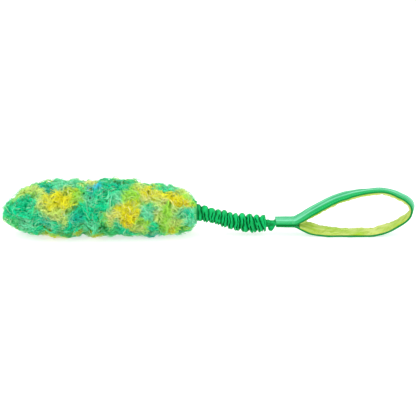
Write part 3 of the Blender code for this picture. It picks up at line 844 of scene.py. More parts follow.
def fibre_grain(tree, fibre_scale, patch_scale, place=None, stretch=(1.0, 1.0, 1.0)):
    """The shared grain, on object places if no others are given: its fibres and its patches"""
    inputs = (
        ("Vector", object_place(tree) if place is None else place),
        ("Stretch", stretch),
        ("Fibre Scale", fibre_scale),
        ("Patch Scale", patch_scale),
    )
    node = placed_group(tree, "grain", inputs)
    return node.outputs["Fibre"], node.outputs["Patch"]


def set_colour(tree, shader, colour, value):
    """A colour made lighter or darker by a value, as the shader's colour"""
    varied = add_node(tree, "ShaderNodeHueSaturation", (("Value", value), ("Color", colour)))
    tree.links.new(varied.outputs[0], shader.inputs["Base Color"])


def vary_roughness(tree, shader, value, low, high):
    """The shader's roughness, between two values"""
    tree.links.new(remap(tree, value, 0.3, 0.7, low, high), shader.inputs["Roughness"])


def raise_surface(tree, shader, height, strength, distance):
    """Bump that feeds the shader's normal"""
    inputs = (("Height", height), ("Strength", strength), ("Distance", distance))
    bump = add_node(tree, "ShaderNodeBump", inputs)
    tree.links.new(bump.outputs["Normal"], shader.inputs["Normal"])


def pile_finish():
    """Dyed curly fibre, darkened a little at the roots as painted shade deep in the pile, and paled at the
    tips as a painted highlight
    """
    finish, tree, shader = new_finish("dyed_pile", 0.62, Specular_IOR_Level=0.12)
    dye = surface_value(tree, "dye", "Color")
    along = surface_value(tree, "along")
    # Painted shade: the dye darkened towards the roots, deep in the pile
    deep = blend_colours(tree, 1.0, dye, (0.94, 0.97, 0.92), "MULTIPLY")
    shaded = blend_colours(tree, remap(tree, along, 0.0, 0.4), deep, dye)
    # Painted highlight: the dye paled towards the tips
    pale = blend_colours(tree, 0.11, dye, (0.90, 1.0, 0.72))
    tip_highlighted = blend_colours(tree, remap(tree, along, 0.6, 1.0), shaded, pale)
    fibre, patch = fibre_grain(tree, 1800.0, 240.0)
    set_colour(tree, shader, tip_highlighted, remap(tree, fibre, 0.35, 0.65, 0.95, 1.08))
    vary_roughness(tree, shader, patch, 0.52, 0.72)
    return finish


def undercoat_finish():
    """Dense short fibre under the locks, flecked with a darker dye: partly its grain, partly painted shade
    under the locks
    """
    finish, tree, shader = new_finish("dyed_undercoat", 0.85, Specular_IOR_Level=0.2)
    dye = surface_value(tree, "dye", "Color")
    fibre, _ = fibre_grain(tree, 900.0, 160.0)
    # Darker dye, mixed in by the fibre grain: partly grain, partly painted shade under the locks
    deep = blend_colours(tree, 1.0, dye, (0.88, 0.94, 0.86), "MULTIPLY")
    mixed = blend_colours(tree, remap(tree, fibre, 0.35, 0.65), deep, dye)
    tree.links.new(mixed, shader.inputs["Base Color"])
    raise_surface(tree, shader, fibre, 0.9, 0.0010)
    return finish


def sleeve_finish():
    """Emerald cloth with painted shade deep in its creases, and a fine weave"""
    finish, tree, shader = new_finish("emerald_cloth", 0.62, Specular_IOR_Level=0.14)
    threads = (("Vector", cloth_place(tree)), ("Threads", 2600.0))
    weave = placed_group(tree, "weave", threads).outputs["Height"]
    fibre, patch = fibre_grain(tree, 3000.0, 130.0)
    bright = blend_colours(tree, remap(tree, patch, 0.35, 0.65), (0.0, 0.33, 0.075), (0.0, 0.48, 0.128))
    # Painted shade: near black green where the crease value is high, deep in the creases between the folds,
    # in the bore and at the ends
    crease_shaded = blend_colours(tree, surface_value(tree, "crease"), bright, (0.0, 0.062, 0.010))
    set_colour(tree, shader, crease_shaded, remap(tree, weave, 0.0, 1.0, 0.86, 1.06))
    vary_roughness(tree, shader, fibre, 0.55, 0.72)
    height = maths(tree, "ADD", weave, maths(tree, "MULTIPLY", fibre, 0.6))
    raise_surface(tree, shader, height, 0.35, 0.00012)
    return finish


def webbing_finish():
    """Green woven webbing: pale faces with lengthwise streaks and lighter patches; painted shade as a
    deeper, saturated rim, strong on the near side, and as dark rounded edges
    """
    finish, tree, shader = new_finish("green_webbing", 0.62, Specular_IOR_Level=0.12)
    cloth = cloth_place(tree)
    weave = placed_group(tree, "webbing", (("Vector", cloth),)).outputs["Height"]
    fibre, streak = fibre_grain(tree, 2600.0, 210.0, cloth, (1.0, 0.06, 1.0))
    _, mottle = fibre_grain(tree, 2400.0, 45.0)
    face = blend_colours(tree, remap(tree, streak, 0.42, 0.58), (0.050, 0.39, 0.18), (0.160, 0.64, 0.36))
    face = blend_colours(tree, remap(tree, mottle, 0.42, 0.70, 0.0, 0.40), face, (0.220, 0.67, 0.42))
    # Painted shade: a deeper, saturated rim along both edges, strong on the near side where the curled edge
    # turns away from the light
    rim_shade = blend_colours(tree, surface_value(tree, "rim_shade"), face, (0.0, 0.375, 0.088))
    # Painted shade: darker still on the rounded edges and in the groove where the curl begins
    edge_shaded = blend_colours(tree, surface_value(tree, "edge"), rim_shade, (0.0, 0.25, 0.045))
    set_colour(tree, shader, edge_shaded, remap(tree, weave, 0.0, 1.0, 0.80, 1.08))
    vary_roughness(tree, shader, fibre, 0.50, 0.70)
    height = maths(tree, "ADD", weave, maths(tree, "MULTIPLY", fibre, 0.5))
    raise_surface(tree, shader, height, 0.5, 0.00022)
    return finish


def lining_finish():
    """Lime fleece: a soft knit with brushed lighter and deeper patches, and painted shade in its seam dips
    and wrinkle troughs
    """
    soft = {"Sheen_Weight": 0.10, "Sheen_Roughness": 0.6, "Specular_IOR_Level": 0.25}
    finish, tree, shader = new_finish("lime_lining", 0.85, **soft)
    fibre, patch = fibre_grain(tree, 2200.0, 38.0)
    nap, nap_patch = fibre_grain(tree, 1500.0, 260.0, cloth_place(tree), (1.0, 0.16, 1.0))
    knit = blend_colours(tree, remap(tree, patch, 0.38, 0.62), (0.33, 0.53, 0.020), (0.53, 0.63, 0.145))
    brushed = blend_colours(tree, remap(tree, nap_patch, 0.42, 0.68, 0.0, 0.6), knit, (0.61, 0.68, 0.26))
    # Painted shade by the crease value: olive darkening in the dips at the seams and the troughs of the
    # wrinkles
    shaded_in_dips = blend_colours(tree, surface_value(tree, "crease"), brushed, (0.30, 0.44, 0.018))
    set_colour(tree, shader, shaded_in_dips, remap(tree, fibre, 0.3, 0.7, 0.88, 1.08))
    raise_surface(tree, shader, maths(tree, "ADD", fibre, nap), 0.6, 0.00035)
    return finish


def thread_finish(name, dark, light, roughness=0.55):
    """Twisted sewing thread, or another plain fibre, with plies that catch the light"""
    finish, tree, shader = new_finish(name, roughness, Sheen_Weight=0.2)
    inputs = (("Vector", object_place(tree)), ("Scale", 700.0), ("Distortion", 1.5), ("Detail", 2.0))
    wave = add_node(tree, "ShaderNodeTexWave", inputs, bands_direction="DIAGONAL").outputs["Fac"]
    tree.links.new(blend_colours(tree, wave, dark, light), shader.inputs["Base Color"])
    ply_roughness = remap(tree, wave, 0.0, 1.0, roughness - 0.08, roughness + 0.1)
    tree.links.new(ply_roughness, shader.inputs["Roughness"])
    raise_surface(tree, shader, wave, 0.5, 0.00012)
    return finish


def fibre_finish(name, dark, light, scale, roughness=0.9, distance=0.0006):
    """Matted or woven plain fibre"""
    finish, tree, shader = new_finish(name, roughness)
    fibre, patch = fibre_grain(tree, scale, scale / 12)
    colour = blend_colours(tree, remap(tree, patch, 0.3, 0.7), dark, light)
    set_colour(tree, shader, colour, remap(tree, fibre, 0.3, 0.7, 0.9, 1.05))
    raise_surface(tree, shader, fibre, 0.7, distance)
    return finish


def plastic_finish():
    """Milky moulded plastic with a faint flow pattern"""
    finish, tree, shader = new_finish("squeaker_plastic", 0.42)
    fibre, patch = fibre_grain(tree, 900.0, 90.0)
    colour = blend_colours(tree, patch, (0.80, 0.80, 0.76), (0.90, 0.90, 0.88))
    tree.links.new(colour, shader.inputs["Base Color"])
    vary_roughness(tree, shader, patch, 0.34, 0.5)
    raise_surface(tree, shader, fibre, 0.15, 0.00005)
    return finish


# Mesh helpers


def link_object(name, mesh, finish):
    """A mesh as an object with its finish, shaded smooth"""
    item = bpy.data.objects.new(name, mesh)
    bpy.context.scene.collection.objects.link(item)
    mesh.materials.append(finish)
    mesh.shade_smooth()
    return item


def face_outwards(mesh):
    """All faces of a closed mesh point out"""
    shape = bmesh.new()
    shape.from_mesh(mesh)
    bmesh.ops.recalc_face_normals(shape, faces=shape.faces)
    shape.to_mesh(mesh)
    shape.free()


def hold_values(mesh, label, amounts):
    """A value at each point of a mesh"""
    layer = mesh.attributes.new(label, "FLOAT", "POINT")
    layer.data.foreach_set("value", amounts.astype(np.float32).ravel())


def hold_dye(mesh, colours):
    """The dye's colour at each point of a mesh"""
    layer = mesh.attributes.new("dye", "FLOAT_COLOR", "POINT")
    rows = np.column_stack([colours, np.ones(len(colours))])
    layer.data.foreach_set("color", rows.astype(np.float32).ravel())


def full_turn(count):
    """Evenly spaced turns round a full circle"""
    return np.linspace(0.0, 2 * math.pi, count, endpoint=False)


def loft(name, places, finish, cloth=None, joined=False, values=()):
    """A closed skin over rows of places, each row a ring; the rows can join into a torus"""
    rows, sides = places.shape[:2]
    mesh = bpy.data.meshes.new(name)
    last = rows if joined else rows - 1
    row, side = np.meshgrid(np.arange(last), np.arange(sides), indexing="ij")
    row, side = row.ravel(), side.ravel()
    near, far = row % rows * sides, (row + 1) % rows * sides
    corner_rows = np.stack([row, row, row + 1, row + 1], 1)
    corner_sides = np.stack([side, side + 1, side + 1, side], 1)
    following = (side + 1) % sides
    faces = np.stack([near + side, near + following, far + following, far + side], 1)
    polygons = faces.tolist()
    if not joined:
        polygons.append(list(range(sides))[::-1])
        polygons.append(list(range((rows - 1) * sides, rows * sides)))
    mesh.from_pydata(places.reshape(-1, 3).tolist(), [], polygons)
    if cloth is not None:
        layer = mesh.uv_layers.new(name="cloth")
        spots = cloth[corner_rows, corner_sides].reshape(-1, 2)
        full = np.zeros((len(mesh.loops), 2))
        full[: len(spots)] = spots
        layer.uv.foreach_set("vector", full.astype(np.float32).ravel())
    for label, amounts in values:
        hold_values(mesh, label, amounts)
    face_outwards(mesh)
    return link_object(name, mesh, finish)


def cloth_map(lengths, widths):
    """A map in metres for rows at these lengths and sides at these widths"""
    down, across = np.meshgrid(lengths, widths, indexing="ij")
    return np.stack([across, down], 2)


def run_slope(points, index):
    """Slope of a smooth curve at one of its points, leaning towards the nearer neighbour's side"""
    if index == 0:
        return (points[1] - points[0]).normalized()
    if index == len(points) - 1:
        return (points[-1] - points[-2]).normalized()
    behind = points[index] - points[index - 1]
    ahead = points[index + 1] - points[index]
    total = behind.length + ahead.length
    return (behind * (ahead.length / behind.length) + ahead * (behind.length / ahead.length)) / total


def smooth_run(points, steps):
    """Points of a smooth curve through the given ones"""
    run = []
    for index in range(len(points) - 1):
        start, end = points[index], points[index + 1]
        span = (end - start).length
        leave = run_slope(points, index) * span
        arrive = run_slope(points, index + 1) * span
        bend = 3 * (end - start) - 2 * leave - arrive
        turn = 2 * (start - end) + leave + arrive
        for step in range(steps):
            share = step / steps
            run.append(start + leave * share + bend * share**2 + turn * share**3)
    return [*run, points[-1]]


def lengths_along(points):
    """Distance of each point from the first, along the run"""
    steps = np.linalg.norm(np.diff(points, axis=0), axis=1)
    return np.concatenate([[0.0], np.cumsum(steps)])


def read_run(points, distances):
    """Places and directions at these distances along a run"""
    lengths = lengths_along(points)
    places = np.stack([np.interp(distances, lengths, points[:, axis]) for axis in range(3)], 1)
    ahead = np.stack([np.interp(distances + read_step, lengths, points[:, axis]) for axis in range(3)], 1)
    behind = np.stack([np.interp(distances - read_step, lengths, points[:, axis]) for axis in range(3)], 1)
    directions = ahead - behind
    return places, directions / np.linalg.norm(directions, axis=1, keepdims=True)


def soft_noise(places, size, seed, octaves=2):
    """Smooth waves summed in random directions, about -1 to 1, for places in metres"""
    draws = np.random.default_rng(seed)
    total = np.zeros(places.shape[:-1])
    for octave in range(octaves):
        for _ in range(noise_wave_count):
            way = draws.normal(size=places.shape[-1])
            way *= 2 * math.pi / size * 2**octave * draws.uniform(*noise_size_spread) / np.linalg.norm(way)
            total += np.sin(places @ way + draws.uniform(0, 2 * math.pi)) / 2**octave
    return total / noise_level


def smooth_step(value):
    """A share that leaves 0 and reaches 1 gently"""
    value = np.clip(value, 0.0, 1.0)
    return value * value * (3 - 2 * value)


# Fur


def tuft_height(along, turn):
    """How far the cover stands out of its plain outline: turns start at the top; belly and ends are plain"""
    wave = np.sin(2 * math.pi * along / tuft_length + tuft_lean * np.sin(2 * turn))
    wave = wave * np.sin(tuft_count * turn + tuft_lean * np.sin(2 * math.pi * along / tuft_wander_length))
    fade = smooth_step(np.minimum(along, mouth_x - nose_x - along) / tuft_fade_length)
    fade = fade * smooth_step((1 + np.cos(turn)) / tuft_belly_share)
    return fade * (tuft_rise * wave - tuft_sink)


def cover_profile():
    """Plain outline of the solid cover: lengths, then place, radius and middle, outward way, end"""
    mesh = nodes["fur_cover"].data
    tree = BVHTree.FromPolygons([v.co for v in mesh.vertices], [p.vertices[:] for p in mesh.polygons])
    stations = []
    for index in range(station_count + 1):
        share = 0.5 - 0.5 * math.cos(math.pi * index / station_count)
        x = nose_x + seam_gap + (mouth_x - nose_x - 2 * seam_gap) * share
        high = tree.ray_cast(Vector((x, 0.0, ray_reach)), -along_z)[0].z
        low = tree.ray_cast(Vector((x, 0.0, -ray_reach)), along_z)[0].z
        side = -tree.ray_cast(Vector((x, -ray_reach, (high + low) / 2)), along_y)[0].y
        radius = side - float(tuft_height(x - nose_x, math.pi / 2))
        stations.append((x, radius, high - float(tuft_height(x - nose_x, 0.0)) - radius))
    rows = np.array(stations)
    rows = np.vstack([[nose_x, 0.0, rows[0, 2]], rows])
    for _ in range(station_smooth_count):
        rows[2:-1] = (rows[1:-2] + 2 * rows[2:-1] + rows[3:]) / 4
    end = lengths_along(rows[:, :2])[-1]
    beyond = np.empty((beyond_count, 3))
    beyond[:, 0] = mouth_x + np.linspace(*beyond_reach, beyond_count)
    beyond[:, 1] = rows[-1, 1]
    beyond[:, 2] = mouth_pivot.z
    rows = np.vstack([rows, beyond])
    lengths = lengths_along(rows[:, :2])
    even = np.arange(0.0, lengths[-1], pile_step)
    profile = np.stack([np.interp(even, lengths, rows[:, axis]) for axis in range(3)], 1)
    steps = profile_smooth_steps
    kernel = np.hanning(2 * steps + 1)
    kernel /= kernel.sum()
    padded = np.pad(profile, ((steps, steps), (0, 0)), mode="edge")
    padded[:steps, 0] = profile[steps:0:-1, 0]
    padded[:steps, 1] = -profile[steps:0:-1, 1]
    smooth = np.stack([np.convolve(padded[:, axis], kernel, "valid") for axis in range(2)], 1)
    slopes = np.gradient(smooth, axis=0)
    slopes /= np.linalg.norm(slopes, axis=1, keepdims=True)
    outward = np.stack([-slopes[:, 1], slopes[:, 0]], 1)
    return even, profile, outward, end


skin_lengths, skin_profile, skin_outward, skin_end = cover_profile()


def pile_room(length):
    """Depth of the pile at a length along the skin: full over the body, shallow at the mouth"""
    share = smooth_step((length / skin_end - pile_taper_share) / (1 - pile_taper_share))
    return pile_depth + (pile_mouth_depth - pile_depth) * share


def over_skin(length, turn, height):
    """Places over the undercoat: length along the skin from the nose, turn from the top, height"""
    across = length < 0
    length = np.abs(length)
    turn = np.where(across, turn + math.pi, turn)
    x = np.interp(length, skin_lengths, skin_profile[:, 0])
    radius = np.interp(length, skin_lengths, skin_profile[:, 1])
    middle = np.interp(length, skin_lengths, skin_profile[:, 2])
    out_x = np.interp(length, skin_lengths, skin_outward[:, 0])
    out_r = np.interp(length, skin_lengths, skin_outward[:, 1])
    drop = height - pile_room(length) + tuft_share * tuft_height(x - nose_x, turn)
    x = x + drop * out_x
    radius = np.maximum(radius + drop * out_r, 0.0)
    return np.stack([x, -radius * np.sin(turn), middle + radius * np.cos(turn)], -1)


def all_patches():
    """The patches in view, and more of the same kind round the back and underneath"""
    draws = random.Random(5)
    rows = [(nose_x + along, math.radians(turn), reach, dyes[dye]) for dye, along, turn, reach in patches]
    for index in range(far_patch_count):
        place = nose_x + (mouth_x - nose_x) * (index + draws.random()) / far_patch_count
        turn = math.radians(draws.uniform(*far_patch_turns))
        rows.append((place, turn, draws.uniform(*far_patch_reach), dyes[draws.choice(far_dyes)]))
    return rows


def dye_at(places, jitter):
    """Tie-dye colour at places on the fur; jitter moves the place read, so that edges are ragged"""
    middle = np.interp(places[:, 0], skin_profile[:, 0], skin_profile[:, 2])
    across = np.arctan2(-places[:, 1], places[:, 2] - middle) * patch_spread
    x = places[:, 0] + patch_wander * soft_noise(places, patch_wander_size, seed=11) + jitter[:, 0]
    round_body = across + patch_wander * soft_noise(places, patch_wander_size, seed=12) + jitter[:, 1]
    total = np.full(len(x), base_weight)
    colour = np.outer(total, dyes["green"])
    whole = 2 * math.pi * patch_spread
    for place, turn, reach, dye in all_patches():
        gap = np.mod(round_body - turn * patch_spread + whole / 2, whole) - whole / 2
        weight = np.exp(-(((x - place) ** 2 + gap**2) / reach**2) * patch_sharpness)
        total += weight
        colour += np.outer(weight, dye)
    return colour / total[:, None]


def undercoat():
    """The dense skin under the locks: a closed wall from the nose to the turned-in mouth"""
    lengths = np.linspace(0.0, skin_end, undercoat_rows)
    length, turn = np.meshgrid(lengths, full_turn(undercoat_sides), indexing="ij")
    flat = over_skin(length, turn, np.zeros_like(length))
    ripple = undercoat_ripple * soft_noise(flat, undercoat_ripple_size, seed=21, octaves=3)
    ripple[0] = 0.0
    outer = over_skin(length, turn, ripple)
    outer[..., 2] = np.maximum(outer[..., 2], floor_gap)
    inner = over_skin(length[::-1], turn[::-1], np.full_like(length, -undercoat_wall))
    inner[..., 2] = np.maximum(inner[..., 2], floor_gap * 2)
    places = np.concatenate([outer[1:], inner[:-1]])
    item = loft("fur_undercoat", places, undercoat_finish())
    hold_dye(item.data, dye_at(places.reshape(-1, 3), np.zeros((places.size // 3, 2))))
    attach(item, "tug")
    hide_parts("fur_cover")


def lock_plan(count):
    """Roots, ways and turns of the locks, spread evenly over the skin"""
    draws = np.random.default_rng(7)
    golden = (math.sqrt(5) - 1) / 2
    weights = skin_profile[:, 1] - pile_room(skin_lengths) / 2
    weights = np.where(skin_lengths <= skin_end, np.maximum(weights, least_lock_weight), 0.0)
    total = np.cumsum(weights)
    order = (np.arange(count) + draws.uniform(-lock_place_jitter, lock_place_jitter, count) + 0.5) / count
    lengths = np.interp(order * total[-1], total, skin_lengths)
    turns = np.arange(count) * golden + draws.uniform(-lock_turn_jitter, lock_turn_jitter, count)
    turns = 2 * math.pi * np.mod(turns, 1.0)
    roots = over_skin(lengths, turns, np.zeros(count))
    way = way_swirl * soft_noise(roots, swirl_size * way_swirl_share, seed=31, octaves=1)
    way = way + draws.normal(0, way_jitter, count)
    side = soft_noise(roots, swirl_size * side_swirl_share, seed=32, octaves=1)
    side = np.sign(side + draws.normal(0, side_jitter, count))
    bend = side * draws.uniform(*lock_turn, count)
    reach = draws.uniform(*strand_length, count)
    tuft = 1.0 + tuft_spread * soft_noise(roots, tuft_size, seed=33, octaves=1)
    tuft = np.clip(tuft + draws.normal(0, tuft_jitter, count), *tuft_limits)
    wave = draws.uniform(0, 2 * math.pi, count)
    return lengths, turns, way, bend, reach, tuft, wave


def per_cluster(values):
    """One value a cluster given to each of its strands"""
    return np.repeat(values, strands_per_cluster)


def strand_runs(count, per_lock):
    """Points of every strand: each follows its lock, starts beside it and draws in to its tip"""
    draws = np.random.default_rng(8)
    lengths, turns, way, bend, reach, tuft, wave = (np.repeat(part, per_lock) for part in lock_plan(count))
    total = len(lengths)
    clusters = total // strands_per_cluster
    share = np.linspace(0.0, 1.0, strand_points)
    middle = (share[:-1] + share[1:]) / 2
    reach = reach * per_cluster(draws.uniform(*cluster_reach, clusters))
    reach = reach * np.where(lengths > skin_end * mouth_lock_share, mouth_lock_reach, 1.0)
    bend = bend * per_cluster(draws.uniform(*cluster_bend, clusters))
    way = way + per_cluster(draws.normal(0, cluster_way_jitter, clusters))
    way = way + draws.normal(0, strand_way_jitter, total)
    stray = draws.random(total) < stray_share

    # Way and lift of each piece of a strand, added up into its points
    sway = wave_swing * np.sin(wave[:, None] + wave_rate * middle)
    heading = way[:, None] + bend[:, None] * middle**bend_power + sway
    lift = root_lift + (tip_lift - root_lift) * middle**lift_power
    lift = lift + per_cluster(draws.normal(0, cluster_lift_jitter, clusters))[:, None]
    lift = lift + np.where(stray, stray_lift, 0.0)[:, None] * middle
    step = (reach / (strand_points - 1))[:, None]
    flat = step * np.cos(lift)
    rises = step * np.sin(lift) * tuft[:, None]
    moves = (flat * np.cos(heading), flat * np.sin(heading), rises)
    ahead, sideways, rise = (np.pad(np.cumsum(move, 1), ((0, 0), (1, 0))) for move in moves)

    # Strands start apart in their lock and wind together towards its tip
    shrink = 1 - np.where(stray, stray_pinch, lock_pinch)[:, None] * share**pinch_power
    angle = per_cluster(draws.uniform(0, 2 * math.pi, clusters))[:, None] + strand_twist * share
    far = lock_spread * np.sqrt(per_cluster(draws.random(clusters)))[:, None] * lock_edge_share
    ahead = ahead + far * shrink * np.cos(angle) + draws.normal(0, cluster_radius, total)[:, None]
    sideways = sideways + far * shrink * np.sin(angle) + draws.normal(0, cluster_radius, total)[:, None]
    wobble = strand_wobble * shrink * np.sin(angle * 2 + 1)
    rise = rise + wobble + draws.normal(0, cluster_radius, total)[:, None]

    # Onto the skin, held back at the mouth, over the floor and in the room that the pile has
    length = lengths[:, None] + ahead
    edge = skin_end - mouth_lock_setback
    length = np.where(length > edge, edge + (length - edge) * mouth_squeeze_share, length)
    radius = np.interp(np.abs(length), skin_lengths, skin_profile[:, 1])
    turn = turns[:, None] + sideways / np.maximum(radius, least_turn_radius)
    ground = over_skin(length, turn, np.zeros_like(length))[..., 2]
    fall = ground - over_skin(length, turn, np.full_like(length, probe_height))[..., 2]
    to_floor = (ground - floor_gap) * probe_height / np.maximum(fall, least_fall)
    room = np.where(fall > least_fall, to_floor, 1.0)
    room = np.minimum(room, pile_depth * pile_reach_share * draws.uniform(*room_spread, total)[:, None])
    room = np.maximum(room, least_room)
    rise = np.maximum(rise, -deepest_sink)
    held = rise / (1 + (rise / room) ** room_hardness) ** (1 / room_hardness)
    rise = np.where(rise > 0, held, rise)
    depth_share = pile_room(np.abs(length)) / pile_depth
    shallow = shallow_rise_share + (1 - shallow_rise_share) * depth_share
    rise = np.where(rise > 0, rise * shallow, rise)
    places = over_skin(length, turn, rise)
    lowest = floor_gap + floor_scatter * draws.random(total)[:, None]
    places[..., 2] = np.maximum(places[..., 2], lowest)
    return places, lengths, draws


def strand_mesh(name, runs, tints, finish):
    """Closed three-sided strands, thick at the root and drawn to a point"""
    total, points = runs.shape[:2]
    ring_count = points - 1
    tip = ring_count * strand_sides
    directions = np.gradient(runs, axis=1)
    directions /= np.maximum(np.linalg.norm(directions, axis=2, keepdims=True), tiny)
    draws = np.random.default_rng(len(name) + total)
    across = draws.normal(size=(total, 3))
    radii = strand_radius * draws.uniform(*strand_radius_spread, total)
    rings = np.empty((total, ring_count, strand_sides, 3))
    for index in range(ring_count):
        ahead = directions[:, index]
        across = across - ahead * np.sum(across * ahead, 1, keepdims=True)
        across /= np.maximum(np.linalg.norm(across, axis=1, keepdims=True), tiny)
        upward = np.cross(ahead, across)
        thick = radii * (1.0 - strand_taper_share * (index / ring_count) ** strand_taper_power)
        for side, angle in enumerate(full_turn(strand_sides)):
            offset = across * math.cos(angle) + upward * math.sin(angle)
            rings[:, index, side] = runs[:, index] + offset * thick[:, None]
    rings[..., 2] = np.maximum(rings[..., 2], floor_gap / 3)
    vertices = np.concatenate([rings.reshape(total, tip, 3), runs[:, -1:, :]], 1)
    faces = []
    for low in range(0, tip - strand_sides, strand_sides):
        high = low + strand_sides
        for side in range(strand_sides):
            following = (side + 1) % strand_sides
            faces.append([low + side, low + following, high + following])
            faces.append([low + side, high + following, high + side])
    for side in range(strand_sides):
        faces.append([tip - strand_sides + side, tip - strand_sides + (side + 1) % strand_sides, tip])
    faces.append([2, 1, 0])
    all_faces = (np.array(faces)[None] + (tip + 1) * np.arange(total)[:, None, None]).reshape(-1, 3)
    mesh = bpy.data.meshes.new(name)
    mesh.vertices.add(total * (tip + 1))
    mesh.vertices.foreach_set("co", vertices.astype(np.float32).ravel())
    mesh.loops.add(all_faces.size)
    mesh.loops.foreach_set("vertex_index", all_faces.astype(np.int32).ravel())
    mesh.polygons.add(len(all_faces))
    mesh.polygons.foreach_set("loop_start", np.arange(0, all_faces.size, 3, dtype=np.int32))
    mesh.update(calc_edges=True)
    share = np.concatenate([np.repeat(np.arange(ring_count) / ring_count, strand_sides), [1.0]])
    hold_values(mesh, "along", np.tile(share, total))
    ring_tints = np.repeat(tints[:, :-1], strand_sides, axis=1)
    hold_dye(mesh, np.concatenate([ring_tints, tints[:, -1:]], 1).reshape(-1, 3))

    # Each strand has a cell of its own on the map
    cells = math.ceil(math.sqrt(total))
    column = (np.arange(total) % cells)[:, None]
    line = (np.arange(total) // cells)[:, None]
    around = np.concatenate([np.tile(bake_across_shares, ring_count), [0.5]])
    upward = bake_margin_share + (1 - 2 * bake_margin_share) * share
    spots = (np.stack([column + around, line + upward], 2) / cells).reshape(-1, 2)
    layer = mesh.uv_layers.new(name="OFBake")
    layer.uv.foreach_set("vector", spots[all_faces.ravel()].astype(np.float32).ravel())
    return link_object(name, mesh, finish)


def pile():
    """Curly locks of the dyed fur, in pieces from the nose to the mouth"""
    count = lock_count
    runs, lengths, draws = strand_runs(count, strands_per_lock)
    total = len(runs)
    lock_jitter = np.repeat(draws.normal(0, lock_jitter_size, (count, 2)), strands_per_lock, 0)
    jitter = np.repeat(lock_jitter + draws.normal(0, strand_jitter_size, (total, 2)), strand_points, 0)
    tints = dye_at(runs.reshape(-1, 3), jitter).reshape(total, strand_points, 3)
    value = np.repeat(draws.normal(1.0, lock_value_spread, count), strands_per_lock)
    value = value * draws.normal(1.0, strand_value_spread, total)
    value = value * per_cluster(draws.normal(1.0, cluster_value_spread, total // strands_per_cluster))
    tints = np.clip(tints * value[:, None, None], 0.0, dye_limit)
    # Painted highlight: some clusters paled towards a whitish fibre, for the light glints along the curls
    mixes = draws.uniform(*pale_cluster_mix, total // strands_per_cluster)
    chosen = draws.random(total // strands_per_cluster) < pale_cluster_share
    highlight_share = per_cluster(np.where(chosen, mixes, 0.0))[:, None, None]
    tints = tints + (np.array(pale_fibre) - tints) * highlight_share
    finish = pile_finish()
    limits = np.quantile(lengths, np.linspace(0, 1, pile_piece_count + 1))
    for index in range(pile_piece_count):
        inside = (lengths >= limits[index]) & (lengths < limits[index + 1])
        if index == pile_piece_count - 1:
            inside |= lengths == limits[-1]
        item = strand_mesh(f"fur_locks_{index + 1}", runs[inside], tints[inside], finish)
        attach(item, "tug")


# Bungee


def bungee_run():
    """Smooth points of the droop between the two pivots, with a straight lead at both ends"""
    points = []
    for share, droop in droop_shares:
        points.append(mouth_pivot.lerp(neck_pivot, share) - along_z * droop * bungee_sag)
    run = np.array([tuple(point) for point in smooth_run(points, route_steps)])
    first = run[0] - (run[1] - run[0]) / np.linalg.norm(run[1] - run[0]) * route_lead
    last = run[-1] + (run[-1] - run[-2]) / np.linalg.norm(run[-1] - run[-2]) * route_lead
    return np.vstack([first, run, last])


route = bungee_run()
route_total = lengths_along(route)[-1] - 2 * route_lead


def around_route(distances, radii, turns):
    """Places round the bungee's route; turns start at the top"""
    along = np.broadcast_to(distances[:, None], radii.shape).ravel() + route_lead
    places, ways = read_run(route, along)
    upward = np.stack([-ways[:, 2], np.zeros(len(ways)), ways[:, 0]], 1)
    turn = np.broadcast_to(turns, radii.shape).ravel()[:, None]
    side = np.array([0.0, -1.0, 0.0])
    out = upward * np.cos(turn) + side * np.sin(turn)
    return (places + out * radii.ravel()[:, None]).reshape(*radii.shape, 3)


def turn_gap(turns, middle):
    """Turn from a middle, the short way round"""
    return np.mod(turns - middle + math.pi, 2 * math.pi) - math.pi


